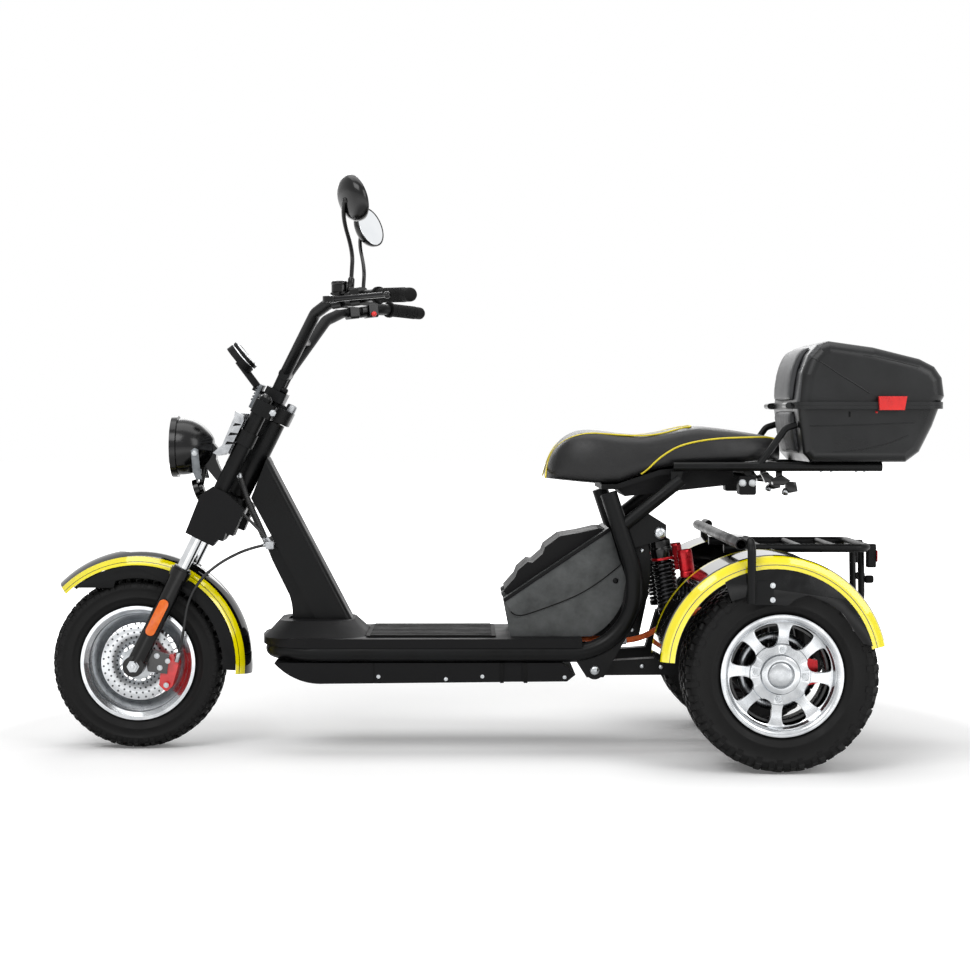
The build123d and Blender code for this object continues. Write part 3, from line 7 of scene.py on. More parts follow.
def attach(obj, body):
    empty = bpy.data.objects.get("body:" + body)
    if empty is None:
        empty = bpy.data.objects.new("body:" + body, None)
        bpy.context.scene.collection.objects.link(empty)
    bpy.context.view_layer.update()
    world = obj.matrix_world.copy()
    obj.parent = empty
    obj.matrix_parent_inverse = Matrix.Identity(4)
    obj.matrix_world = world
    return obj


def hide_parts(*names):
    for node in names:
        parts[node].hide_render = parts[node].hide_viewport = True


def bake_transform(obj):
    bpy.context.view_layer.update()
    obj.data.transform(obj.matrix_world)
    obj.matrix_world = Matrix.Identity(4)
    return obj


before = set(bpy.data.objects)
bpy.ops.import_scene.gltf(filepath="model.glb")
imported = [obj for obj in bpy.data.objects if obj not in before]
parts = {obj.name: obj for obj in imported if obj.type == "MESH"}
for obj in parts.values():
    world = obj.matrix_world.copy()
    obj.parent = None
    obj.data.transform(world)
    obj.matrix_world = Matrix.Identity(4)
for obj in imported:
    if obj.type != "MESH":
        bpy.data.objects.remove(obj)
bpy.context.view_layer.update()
print("frame loaded:", len(parts), "parts")

mm = 0.001
left, up = (0, 1, 0), (0, 0, 1)
hands = ((1, "left"), (-1, "right"))  # the sign of y, and its name
frontAxle = (0.85, 0, 0.209)
rearAxle = {"left": (-0.65, 0.315, 0.222), "right": (-0.65, -0.315, 0.222)}
noiseRange = {"From Min": 0.3, "From Max": 0.7}  # noise seldom leaves this range


# colours are written as sRGB hex and turned to linear here
def linear(code):
    channels = [int(code[i:i + 2], 16) / 255 for i in (1, 3, 5)]
    return tuple(c / 12.92 if c <= 0.04045 else ((c + 0.055) / 1.055) ** 2.4 for c in channels) + (1.0,)


# a node's inputs are linked when the value is a node or a socket, and set when it is a plain value
def fill(tree, node, sockets):
    for key, value in sockets.items():
        if isinstance(value, bpy.types.Node):
            value = next(output for output in value.outputs if output.enabled)
        if isinstance(value, bpy.types.NodeSocket):
            tree.links.new(value, node.inputs[key])
        else:
            node.inputs[key].default_value = value


# one node with its settings and links; a kind that names no family of nodes is a shader node
def addNode(tree, kind, sockets=None, **settings):
    made = tree.nodes.new(kind if "Node" in kind else "ShaderNode" + kind)
    for key, value in settings.items():
        setattr(made, key, value)
    fill(tree, made, sockets or {})
    return made


# a material, its tree and shader, and the place of each point in metres
def newMaterial(name, **shaderSockets):
    material = bpy.data.materials.new(name)
    material.use_nodes = True
    tree = material.node_tree
    shader = tree.nodes["Principled BSDF"]
    fill(tree, shader, {key.replace("_", " "): value for key, value in shaderSockets.items()})
    return material, tree, shader, addNode(tree, "TexCoord").outputs["Object"]


def twoTones(tree, pattern, dark, shade):
    amount = addNode(tree, "MapRange", {"Value": pattern, **noiseRange})
    return addNode(tree, "Mix", {0: amount, 6: linear(dark), 7: linear(shade)}, data_type="RGBA")


# places as seen from a centre, and their distance from the line along y through it
def aboutAxle(tree, place, centre):
    moved = addNode(tree, "VectorMath", {0: place, 1: tuple(-c for c in centre)}, operation="ADD")
    flat = addNode(tree, "VectorMath", {0: moved, 1: (1, 0, 1)}, operation="MULTIPLY")
    return moved, addNode(tree, "VectorMath", {0: flat}, operation="LENGTH")


# a plain moulded or painted finish: two shades drift over the surface, fine grain lifts it,
# and larger clouds of wear change its gloss. grain, height and cloud are real sizes in millimetres
def surface(name, shade, dark, roughness, grain=1.2, height=0.05, cloud=60, spread=0.12, kind="noise",
            specular=0.5, **shaderSockets):
    material, tree, shader, place = newMaterial(name, Specular_IOR_Level=specular, **shaderSockets)
    clouds = addNode(tree, "TexNoise", {"Vector": place, "Scale": 1 / (cloud * mm), "Detail": 6,
                                                 "Roughness": 0.6})
    if kind == "cell":
        fine = addNode(tree, "TexVoronoi", {"Vector": place, "Scale": 1 / (grain * mm)}, feature="SMOOTH_F1")
    else:
        fine = addNode(tree, "TexNoise", {"Vector": place, "Scale": 1 / (grain * mm), "Detail": 2})
    fill(tree, shader, {
        "Base Color": twoTones(tree, clouds, dark, shade),
        "Roughness": addNode(tree, "MapRange", {"Value": clouds, **noiseRange, "To Min": roughness - spread,
                                                "To Max": roughness + spread}),
        "Normal": addNode(tree, "Bump", {"Height": fine, "Distance": height * mm})})
    return material


# metal turned or brushed round an axle: fine rings of gloss, line millimetres apart
def turnedMetal(name, shade, dark, roughness, centre, line=0.8, spread=0.08, height=0.02):
    material, tree, shader, place = newMaterial(name, Metallic=1.0)
    radius = aboutAxle(tree, place, centre)[1]
    station = addNode(tree, "Math", {0: radius, 1: line * mm}, operation="DIVIDE")
    rings = addNode(tree, "TexNoise", {"W": station, "Scale": 1, "Detail": 3}, noise_dimensions="1D")
    clouds = addNode(tree, "TexNoise", {"Vector": place, "Scale": 30, "Detail": 4})
    fill(tree, shader, {
        "Base Color": twoTones(tree, clouds, dark, shade),
        "Roughness": addNode(tree, "MapRange", {"Value": rings, **noiseRange, "To Min": roughness - spread,
                                                "To Max": roughness + spread}),
        "Normal": addNode(tree, "Bump", {"Height": rings, "Distance": height * mm})})
    return material


def wear(part, material):  # a part of the frame takes a finish
    data = parts[part].data
    data.materials.clear()
    data.materials.append(material)


# finishes, named for what the real ones are made of
powderCoat = surface("powder coated steel", "#101112", "#090909", 0.4,  # satin, faint orange peel
                     grain=1.4, cloud=70, specular=0.13)
moulding = surface("moulded ABS", "#121213", "#0a0a0b", 0.52,  # matte, fine spark grain
                   grain=0.9, cloud=90, specular=0.12)
glossPlastic = surface("gloss ABS", "#0a0a0b", "#050505", 0.2,  # wet black
                       grain=5, height=0.01, cloud=80, spread=0.05, specular=0.3)
scuffedPanel = surface("scuffed polypropylene", "#545656", "#2c2e2e", 0.4,  # greyed by handling
                       grain=0.8, cloud=55, spread=0.1, specular=0.3)
hardRubber = surface("hard rubber", "#0f0f0f", "#080808", 0.66,  # dull, dusty
                     grain=1, height=0.06, cloud=40, spread=0.08, specular=0.12)
tyreRubber = surface("tyre rubber", "#141414", "#090909", 0.55,  # dull black with a bloom
                     height=0.08, cloud=45, specular=0.16)
redAnodised = surface("red anodised aluminium", "#c1121f", "#8d0a14", 0.28,  # deep metallic red
                      grain=1, height=0.02, cloud=20, Metallic=0.6)
redPlastic = surface("red ABS", "#e2231f", "#c4191a", 0.3,  # bright moulded red
                     grain=2, height=0.02, cloud=30, spread=0.05)
redLens = surface("red acrylic", "#c81418", "#8f0b10", 0.12,  # prismed lens
                  grain=3, height=0.08, cloud=12, spread=0.04, kind="cell")
orangeHose = surface("orange nylon conduit", "#ff7a2c", "#f2601c", 0.45, grain=1.5, cloud=25)  # ribbed loom tube
amberLens = surface("amber acrylic", "#f57a14", "#e65c0a", 0.15,  # reflector prisms
                    grain=4, height=0.25, cloud=15, spread=0.05, kind="cell")
clearLens = surface("frosted acrylic", "#e8eaec", "#d4d7da", 0.14,  # milky lamp glass
                    grain=6, height=0.1, cloud=30, spread=0.05)
chrome = surface("hard chrome", "#dfe1e3", "#c9cbcd", 0.09,  # mirror with faint haze
                 grain=8, height=0.004, cloud=30, spread=0.04, Metallic=1.0)
zincSteel = surface("zinc plated steel", "#c9ccce", "#9b9ea1", 0.3,  # bright bolts
                    grain=1, height=0.03, cloud=10, spread=0.1, Metallic=1.0)
castAluminium = surface("cast aluminium", "#aeb0b2", "#85878a", 0.4,  # dull silver castings
                        grain=0.9, height=0.06, cloud=25, Metallic=1.0)
mirrorGlass = surface("mirror glass", "#f2f4f6", "#e9ecef", 0.04,  # clean silvering, a sharp reflection
                      grain=9, height=0.001, spread=0.02, Metallic=1.0)
polishedLip = turnedMetal("polished aluminium", "#d6d8da", "#b6b9bc", 0.2, frontAxle)  # lathe rings on the lip
machinedFace = turnedMetal("machined aluminium", "#cfd1d3", "#a9acaf", 0.24,
                           rearAxle["left"])  # rings on the spokes
stainless = turnedMetal("stainless steel", "#c4c7ca", "#8f9396", 0.3, frontAxle, line=1.4)  # brushed disc and hub

# behind the spokes the wheels are painted black
spokesFrom = 0.3435  # the inner face of the spokes, across the track
tree = machinedFace.node_tree
shader = tree.nodes["Principled BSDF"]
metalTint = shader.inputs["Base Color"].links[0].from_socket
sides = addNode(tree, "VectorMath", {0: addNode(tree, "TexCoord").outputs["Object"]}, operation="ABSOLUTE")
across = addNode(tree, "SeparateXYZ", {0: sides}).outputs["Y"]
bare = addNode(tree, "Math", {0: across, 1: spokesFrom}, operation="GREATER_THAN")
tint = addNode(tree, "Mix", {0: bare, 6: linear("#121314"), 7: metalTint}, data_type="RGBA")
fill(tree, shader, {"Base Color": tint, "Metallic": bare})

wornBy = {
    powderCoat: ("frame_neck", "frame_rail_left", "frame_rail_right", "rear_subframe", "swing_arm", "guard_bar",
                 "rear_rack", "handlebar", "fork_yokes"),
    moulding: ("deck_shell", "belly_box", "seat_tray", "fork_shroud", "speedometer", "battery_cover", "motor_axle",
               "rear_lamps"),
    scuffedPanel: ("battery_housing",),
    hardRubber: ("deck_mat", "grips"),
    redAnodised: ("rear_calipers",),
    redPlastic: ("box_latches",),
    chrome: ("fork_stanchions",),
    castAluminium: ("fairing",),
    glossPlastic: ("controls", "headlight", "fork_sliders"),
    polishedLip: ("front_rim",),
    stainless: ("front_hub",),
}
for material, names in wornBy.items():
    for name in names:
        wear(name, material)
print("finishes on the frame parts")


def linked(name, data):  # an object in the scene
    made = bpy.data.objects.new(name, data)
    bpy.context.scene.collection.objects.link(made)
    return made


def asMesh(name, form):  # the form is used up
    mesh = bpy.data.meshes.new(name)
    form.to_mesh(mesh)
    form.free()
    return mesh


def joinForms(forms):
    whole = bmesh.new()
    for form in forms:
        part = asMesh("part", form)
        whole.from_mesh(part)
        bpy.data.meshes.remove(part)
    return whole


def evaluated(holder):  # the mesh an object has with its curve or modifiers worked out
    return bpy.data.meshes.new_from_object(holder.evaluated_get(bpy.context.evaluated_depsgraph_get()))


# one piece from a mesh, a form or a list of forms
def finished(name, shape, material, body, smooth=True):
    if isinstance(shape, list):
        shape = joinForms(shape)
    mesh = asMesh(name, shape) if isinstance(shape, bmesh.types.BMesh) else shape
    mesh.name = name
    if material:
        mesh.materials.clear()
        mesh.materials.append(material)
    if smooth:
        mesh.shade_smooth()
    piece = linked(name, mesh)
    if body:
        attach(piece, body)
    return piece


# turns a profile of (radius, y) points round the line along y through centre
def lathe(profile, centre, steps=96, closed=False):
    form = bmesh.new()
    rings = []
    for step in range(steps):
        angle = step * math.tau / steps
        rings.append([form.verts.new((centre[0] + r * math.cos(angle), centre[1] + y,
                                      centre[2] + r * math.sin(angle)))
                      for r, y in profile])
    count = len(profile)
    for here, there in zip(rings, rings[1:] + rings[:1]):
        for index in range(count if closed else count - 1):
            after = (index + 1) % count
            form.faces.new((here[index], here[after], there[after], there[index]))
    bmesh.ops.remove_doubles(form, verts=form.verts, dist=1e-6)
    bmesh.ops.recalc_face_normals(form, faces=form.faces)
    return form


# rounds the corners of a profile so a lathed form keeps soft edges
def softened(points, amount, steps=3):
    rounded = []
    count = len(points)
    for index, (x, y) in enumerate(points):
        before = Vector(points[index - 1])
        after = Vector(points[(index + 1) % count])
        corner = Vector((x, y))
        reach = min(amount, (before - corner).length * 0.45, (after - corner).length * 0.45)
        start = corner + (before - corner).normalized() * reach
        end = corner + (after - corner).normalized() * reach
        for step in range(steps + 1):
            t = step / steps
            rounded.append(tuple(start.lerp(corner, t).lerp(corner.lerp(end, t), t)))
    return rounded


# Geometry Nodes: blocks of one shape on given points, each with its own turn and size, then made real
def setBlocks(name, block, places, material, body, seed=3, uneven=0.08):
    spots = bpy.data.meshes.new(name + " spots")
    spots.from_pydata([place["at"] for place in places], [], [])
    for key in ("turn", "size"):
        for item, place in zip(spots.attributes.new(key, "FLOAT_VECTOR", "POINT").data, places):
            item.vector = place[key]
    holder, shape = linked(name + " holder", spots), linked(name + " block", block)
    tree = bpy.data.node_groups.new(name, "GeometryNodeTree")
    tree.interface.new_socket("Geometry", in_out="INPUT", socket_type="NodeSocketGeometry")
    blockInput = tree.interface.new_socket("Block", in_out="INPUT", socket_type="NodeSocketObject")
    unevenInput = tree.interface.new_socket("Uneven size", in_out="INPUT", socket_type="NodeSocketFloat")
    tree.interface.new_socket("Geometry", in_out="OUTPUT", socket_type="NodeSocketGeometry")
    source = addNode(tree, "NodeGroupInput").outputs
    turn, size = (addNode(tree, "GeometryNodeInputNamedAttribute", {"Name": key}, data_type="FLOAT_VECTOR")
                  for key in ("turn", "size"))
    info = addNode(tree, "GeometryNodeObjectInfo", {"Object": source["Block"]})
    least = addNode(tree, "Math", {0: 1.0, 1: source["Uneven size"]}, operation="SUBTRACT")
    share = addNode(tree, "FunctionNodeRandomValue", {2: least, 3: 1.0, "Seed": seed}, data_type="FLOAT")
    scaled = addNode(tree, "VectorMath", {0: size, "Scale": share}, operation="SCALE")
    copies = addNode(tree, "GeometryNodeInstanceOnPoints", {"Points": source["Geometry"], "Rotation": turn,
                                                           "Instance": info.outputs["Geometry"], "Scale": scaled})
    real = addNode(tree, "GeometryNodeRealizeInstances", {"Geometry": copies})
    dressed = addNode(tree, "GeometryNodeSetMaterial", {"Geometry": real, "Material": material})
    addNode(tree, "NodeGroupOutput", {"Geometry": dressed})
    modifier = holder.modifiers.new(name, "NODES")
    modifier.node_group = tree
    modifier[blockInput.identifier] = shape
    modifier[unevenInput.identifier] = uneven
    bpy.context.view_layer.update()
    made = evaluated(holder)
    holder.modifiers.remove(modifier)
    bpy.data.objects.remove(holder)
    bpy.data.objects.remove(shape)
    return finished(name, made, material, body, smooth=False)


# a block with a smaller top, unit base, standing along +z from the base plane
def taperedBlock(name, top=0.8, sunk=0.4):
    form = bmesh.new()
    bmesh.ops.create_cube(form, size=1.0)
    for vertex in form.verts:
        raised = vertex.co.z > 0
        vertex.co.z = 1.0 if raised else -sunk
        if raised:
            vertex.co.x *= top
            vertex.co.y *= top
    bmesh.ops.recalc_face_normals(form, faces=form.faces)
    return asMesh(name, form)


# the turn that lays a block's x along and its z out
def laid(along, out):
    return tuple(Matrix((along, out.cross(along), out)).transposed().to_euler())


# tyres: a carcass inside the frame's outline, with moulded side rings, and tread blocks out to the full radius
crownDrop = 0.005
shoulderRound = 0.012
treadSkew = 0.3
tyreShapes = {
    "front": {"centre": frontAxle, "radius": 0.209, "half": 0.053, "seat": 0.042, "bead": 0.1273, "depth": 0.009,
              "around": 60, "rows": (0.0, 0.45, 0.9), "block": (0.0135, 0.015),
              "lug": (0.0125, 0.017), "body": "front_wheel", "node": "front_tyre"},
    "rear left": {"centre": rearAxle["left"], "radius": 0.222, "half": 0.084, "seat": 0.069, "bead": 0.1273,
                  "depth": 0.011, "around": 52, "rows": (0.0, 0.3, 0.62, 0.93), "block": (0.018, 0.018),
                  "lug": (0.016, 0.026), "body": "rear_wheel_left", "node": "rear_tyre_left"},
}
tyreShapes["rear right"] = dict(tyreShapes["rear left"], centre=rearAxle["right"], body="rear_wheel_right",
                                node="rear_tyre_right")
treadBlock = taperedBlock("tread block", 0.82)
for name, tyre in tyreShapes.items():
    half, radius, depth = tyre["half"], tyre["radius"], tyre["depth"]
    wallTop = radius - crownDrop - shoulderRound
    crown = [(radius - crownDrop * across ** 2 - depth, across * (half - shoulderRound))
             for across in (step / 8 for step in range(-8, 9))]  # nearly flat, sunk by the tread depth
    side = [(wallTop + 0.003, half - 0.0035), (wallTop - 0.006, half - 0.0016), (wallTop - 0.008, half - 0.0006),
            (wallTop - 0.012, half - 0.0006), (wallTop - 0.014, half - 0.0022), (0.163, half - 0.003),
            (0.161, half - 0.0018), (0.158, half - 0.0018), (0.156, half - 0.004), (0.148, half - 0.008),
            (0.1405, tyre["seat"] + 0.001), (0.14, tyre["seat"] - 0.002), (tyre["bead"], tyre["seat"] - 0.003),
            (tyre["bead"], tyre["seat"] - 0.016), (0.15, half - 0.02), (wallTop - 0.006, half - 0.022)]
    profile = [(r, -y) for r, y in reversed(side)] + crown + side
    carcass = finished(f"{name} tyre carcass".replace(" ", "_"), lathe(profile, tyre["centre"], 128, closed=True),
                       tyreRubber, tyre["body"])
    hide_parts(tyre["node"])
    centre = Vector(tyre["centre"])
    places = []
    for row, across in enumerate(tyre["rows"]):
        for sign in ((1,) if across == 0 else (1, -1)):
            for step in range(tyre["around"]):
                angle = (step + 0.5 * (row % 2)) * math.tau / tyre["around"]
                out = Vector((math.cos(angle), 0, math.sin(angle)))
                along = Vector((-math.sin(angle), 0, math.cos(angle)))
                base = radius - crownDrop * across * across - depth - 0.001
                at = centre + out * base + Vector((0, sign * across * (half - shoulderRound), 0))
                normal = (out + Vector((0, sign * across * 0.12, 0))).normalized()
                skew = treadSkew * (1 if (row + step) % 2 else -1)
                along = along * math.cos(skew) + normal.cross(along) * math.sin(skew)
                places.append({"at": at, "turn": laid(along, normal), "size": (*tyre["block"], depth + 0.0006)})
    for step in range(tyre["around"]):  # shoulder lugs step onto the side wall, long and short in turn
        for sign in (1, -1):
            angle = (step + (0.25 if step % 2 else 0.0)) * math.tau / tyre["around"]
            out = Vector((math.cos(angle), 0, math.sin(angle)))
            along = Vector((-math.sin(angle), 0, math.cos(angle)))
            wide, long = tyre["lug"][0], tyre["lug"][1] * (1.0 if step % 2 else 0.72)
            at = centre + out * (radius - crownDrop - 0.0105) + Vector((0, sign * (half - 0.0105), 0))
            normal = (out * 0.72 + Vector((0, sign * 0.7, 0))).normalized()
            places.append({"at": at, "turn": laid(along, normal), "size": (wide, long, 0.0062)})
            wall = centre + out * (wallTop - 0.003 - long * 0.2) + Vector((0, sign * (half - 0.0022), 0))
            places.append({"at": wall, "turn": laid(along, Vector((0, sign, 0))),
                           "size": (wide * 0.9, long * 0.8, 0.002)})
    setBlocks(f"{name} tyre tread".replace(" ", "_"), treadBlock, places, tyreRubber, tyre["body"])
print("tyres dressed")


def between(table, x):  # smooth value from a table of (x, value), x rising
    if x <= table[0][0]:
        return table[0][1]
    for index in range(len(table) - 1):
        (x0, v0), (x1, v1) = table[index], table[index + 1]
        if x <= x1:
            before = table[index - 1] if index else table[0]
            after = table[index + 2] if index + 2 < len(table) else table[-1]
            slope0 = (v1 - before[1]) / (x1 - before[0]) if x1 != before[0] else 0
            slope1 = (after[1] - v0) / (after[0] - x0) if after[0] != x0 else 0
            t = (x - x0) / (x1 - x0)
            step = x1 - x0
            return ((2 * t ** 3 - 3 * t ** 2 + 1) * v0 + (t ** 3 - 2 * t ** 2 + t) * step * slope0
                    + (-2 * t ** 3 + 3 * t ** 2) * v1 + (t ** 3 - t ** 2) * step * slope1)
    return table[-1][1]


# joins rings of points into one skin, with both ends closed by a fan
def skin(rings):
    form = bmesh.new()
    made = [[form.verts.new(point) for point in ring] for ring in rings]
    count = len(rings[0])
    for here, there in zip(made, made[1:]):
        for index in range(count):
            after = (index + 1) % count
            form.faces.new((here[index], here[after], there[after], there[index]))
    for ring in (made[0], made[-1]):
        middle = form.verts.new(sum((vertex.co for vertex in ring), Vector()) / count)
        for index in range(count):
            form.faces.new((ring[index], ring[(index + 1) % count], middle))
    bmesh.ops.remove_doubles(form, verts=form.verts, dist=1e-5)
    bmesh.ops.recalc_face_normals(form, faces=form.faces)
    return form


# an open nurbs line of order 3 through points, as a mesh: a bare line, or a round cord when it has a radius
def routed(name, points, radius=0.0, sides=3, along=6):
    curve = bpy.data.curves.new(name, "CURVE")
    curve.dimensions = "3D"
    curve.bevel_depth = radius
    curve.bevel_resolution = sides
    curve.use_fill_caps = radius > 0
    curve.resolution_u = along
    line = curve.splines.new("NURBS")
    line.points.add(len(points) - 1)
    for item, point in zip(line.points, points):
        item.co = (*point, 1.0)
    line.order_u = 3
    line.use_endpoint_u = True
    holder = linked(name + " line", curve)
    mesh = evaluated(holder)
    bpy.data.objects.remove(holder)
    return mesh


def pipe(name, points, radius, material, body, sides=3):
    return finished(name, routed(name, points, radius, sides), material, body)


# vinyl stretched over foam: creased leather cells, grain millimetres across, and a slack that swells and dips
def vinylSkin(name, shade, dark, roughness, grain=2.2, spread=0.06):
    material, tree, shader, place = newMaterial(name, Specular_IOR_Level=0.3)
    clouds = addNode(tree, "TexNoise", {"Vector": place, "Scale": 14, "Detail": 5})
    cells = addNode(tree, "TexVoronoi", {"Vector": place, "Scale": 1 / (grain * mm)}, feature="DISTANCE_TO_EDGE")
    creases = addNode(tree, "MapRange", {"Value": cells, "From Max": 0.12})
    fine = addNode(tree, "Bump", {"Height": creases, "Distance": 0.12 * mm, "Strength": 0.7})
    stretch = addNode(tree, "TexNoise", {"Vector": place, "Scale": 22, "Detail": 3})
    fill(tree, shader, {
        "Base Color": twoTones(tree, clouds, dark, shade),
        "Roughness": addNode(tree, "MapRange", {"Value": clouds, **noiseRange, "To Min": roughness - spread,
                                                "To Max": roughness + spread}),
        "Normal": addNode(tree, "Bump", {"Height": stretch, "Distance": 0.9 * mm, "Strength": 0.6,
                                         "Normal": fine})})
    return material


seatVinyl = vinylSkin("black seat vinyl", "#121213", "#0b0b0c", 0.36)  # soft sheen over a leather grain
pipingVinyl = surface("yellow piping vinyl", "#e8d62a", "#d3bd1c", 0.4,  # welted cord
                      grain=0.8, height=0.04, cloud=30, spread=0.06)

# seat: rider's dip and raised pillion; tables run from tail to nose as (x, value), pipings as (x, z), in metres
seatShape = {
    "top": ((-0.69, 0.752), (-0.631, 0.763), (-0.558, 0.774), (-0.505, 0.78), (-0.473, 0.779), (-0.413, 0.768),
            (-0.364, 0.76), (-0.315, 0.763), (-0.243, 0.771), (-0.206, 0.767), (-0.175, 0.75), (-0.15, 0.719),
            (-0.138, 0.69), (-0.133, 0.672)),
    "bottom": ((-0.69, 0.7), (-0.577, 0.692), (-0.494, 0.687), (-0.4, 0.678), (-0.35, 0.662), (-0.298, 0.644),
               (-0.258, 0.644), (-0.133, 0.655)),
    "half": ((-0.69, 0.088), (-0.67, 0.104), (-0.6, 0.118), (-0.5, 0.128), (-0.38, 0.134), (-0.28, 0.134),
             (-0.22, 0.124), (-0.17, 0.102), (-0.145, 0.076), (-0.133, 0.048)),
    "piping front": ((-0.131, 0.658), (-0.135, 0.688), (-0.148, 0.719), (-0.169, 0.74), (-0.2, 0.756),
                     (-0.235, 0.763), (-0.283, 0.76), (-0.354, 0.755), (-0.401, 0.76), (-0.437, 0.769),
                     (-0.462, 0.7755)),
    "piping rear": ((-0.356, 0.668), (-0.372, 0.679), (-0.392, 0.7), (-0.42, 0.72), (-0.448, 0.734),
                    (-0.49, 0.7445), (-0.543, 0.751), (-0.6, 0.7525), (-0.645, 0.753), (-0.668, 0.752)),
    "cross": ((0.0, 0.0), (0.55, 0.0), (0.82, 0.0), (0.93, 0.03), (0.98, 0.12), (1.0, 0.3), (0.985, 0.48),
              (0.955, 0.64), (0.915, 0.77), (0.86, 0.865), (0.78, 0.925), (0.64, 0.965), (0.45, 0.988),
              (0.22, 0.998), (0.0, 1.0)),  # from the middle of the bottom to the middle of the top
    "bridge front": ((-0.476, 0.085, 0.7782), (-0.483, 0.045, 0.7805), (-0.484, 0.0, 0.781)),
    "bridge rear": ((-0.686, 0.084, 0.748), (-0.6935, 0.045, 0.746), (-0.695, 0.0, 0.745)),
    "tail": -0.69, "nose": -0.133, "sections": 90, "piping": 0.0022,
}
rings = []
for step in range(seatShape["sections"]):  # closer together at both ends
    share = 0.5 - 0.5 * math.cos(math.pi * (step + 0.5) / seatShape["sections"])
    x = seatShape["tail"] + (seatShape["nose"] - seatShape["tail"]) * share
    top, bottom, half = (between(seatShape[key], x) for key in ("top", "bottom", "half"))
    upper = [(across * half, bottom + up * (top - bottom)) for across, up in seatShape["cross"]]
    rings.append([(x, y, z) for y, z in upper] + [(x, -y, z) for y, z in reversed(upper[1:-1])])
form = skin(rings)
bmesh.ops.subdivide_edges(form, edges=form.edges, cuts=1, use_grid_fill=True)
bmesh.ops.smooth_vert(form, verts=form.verts, factor=0.5, use_axis_x=True, use_axis_y=True, use_axis_z=True)
for vertex in form.verts:  # slow swell and slack in the cover
    give = noise.noise(vertex.co * 16) * 0.0009 + noise.noise(vertex.co * 45) * 0.0003
    if vertex.co.z > between(seatShape["bottom"], vertex.co.x) + 0.006:
        vertex.co.y += give * (1 if vertex.co.y > 0 else -1)
seat = finished("seat_cushion", form, seatVinyl, None)


# a point on the seat's skin, met from the side at (x, z)
def seatSide(x, z, side, out=0.0):
    for lift in (0, -0.002, -0.004, -0.007, -0.011):
        hit, at, normal, _ = seat.ray_cast(Vector((x, side * 0.4, z + lift)), Vector((0, -side, 0)))
        if hit:
            return at + normal * out
    return Vector((x, side * 0.09, z))


for label in ("front", "rear"):
    lines = {side: [seatSide(x, z, side, 0.0012) for x, z in seatShape["piping " + label]] for side in (1, -1)}
    bridge = seatShape["bridge " + label]
    bridge += tuple((x, -y, z) for x, y, z in bridge[-2::-1])
    pipe(f"seat_piping_{label}", [*lines[1], *bridge, *lines[-1][::-1]], seatShape["piping"], pipingVinyl,
         "chassis")
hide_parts("seat")
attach(seat, "chassis")
print("seat dressed")

# fender paint: gloss black lacquer with yellow edge bands and a black pinstripe, laid out from real distances.
# each zone is a span across from the middle, and a span out from the centre
fenderPaints = {
    "front": {"centre": frontAxle, "bands": (((0.0445, 0.08), (0.2, 0.3)),),
              "lines": (((0.0572, 0.0584), (0.2, 0.3)),)},
    "rear": {"centre": (-0.628, 0, 0.239),
             "bands": (((0.404, 0.43), (0.2225, 0.42)), ((0.2, 0.243), (0.24, 0.42))),
             "lines": (((0.411, 0.43), (0.2335, 0.2352)), ((0.2305, 0.2318), (0.24, 0.42)))},
}
fenderColours = {"black": ("#070708", "#0c0c0d"), "yellow": ("#f6e400", "#fbee00"), "line": "#0b0b0b"}


def fenderPaint(name, centre, bands, lines):
    material, tree, shader, place = newMaterial(name, Roughness=0.07, Coat_Weight=0.6, Coat_Roughness=0.03)
    moved, radius = aboutAxle(tree, place, centre)
    sideways = addNode(tree, "VectorMath", {0: moved}, operation="ABSOLUTE")
    across = addNode(tree, "SeparateXYZ", {0: sideways}).outputs["Y"]
    facing = addNode(tree, "TexCoord").outputs["Normal"]
    looks = addNode(tree, "VectorMath", {0: moved, 1: facing}, operation="MULTIPLY")
    looks = addNode(tree, "SeparateXYZ", {0: looks}).outputs
    away = addNode(tree, "Math", {0: looks["X"], 1: looks["Z"]}, operation="ADD")
    away = addNode(tree, "Math", {0: away, 1: 0.02}, operation="GREATER_THAN")
    aside = addNode(tree, "Math", {0: looks["Y"], 1: 0.05}, operation="GREATER_THAN")
    outside = addNode(tree, "Math", {0: away, 1: aside}, operation="MAXIMUM")

    def painted(zones):
        total = 0.0
        for zone in zones:
            mask = 1.0
            for value, (low, high) in zip((across, radius), zone):
                inside = addNode(tree, "Math", {0: value, 1: (low + high) / 2, 2: (high - low) / 2},
                                 operation="COMPARE")
                mask = addNode(tree, "Math", {0: mask, 1: inside}, operation="MULTIPLY")
            total = addNode(tree, "Math", {0: total, 1: mask}, operation="MAXIMUM")
        return total

    yellow = addNode(tree, "Math", {0: painted(bands), 1: outside}, operation="MULTIPLY")
    stripe = addNode(tree, "Math", {0: painted(lines), 1: yellow}, operation="MULTIPLY")
    drift = addNode(tree, "TexNoise", {"Vector": place, "Scale": 9, "Detail": 3})
    base = addNode(tree, "Mix", {0: yellow, 6: twoTones(tree, drift, *fenderColours["black"]),
                                 7: twoTones(tree, drift, *fenderColours["yellow"])}, data_type="RGBA")
    peel = addNode(tree, "TexNoise", {"Vector": place, "Scale": 300, "Detail": 1})
    fill(tree, shader, {
        "Base Color": addNode(tree, "Mix", {0: stripe, 6: base, 7: linear(fenderColours["line"])},
                              data_type="RGBA"),
        "Normal": addNode(tree, "Bump", {"Height": peel, "Distance": 0.02 * mm})})
    return material


wear("front_fender", fenderPaint("lacquered front fender", **fenderPaints["front"]))
rearPaint = fenderPaint("lacquered rear fender", **fenderPaints["rear"])
for _, name in hands:
    wear(f"rear_fender_{name}", rearPaint)
print("fenders striped")

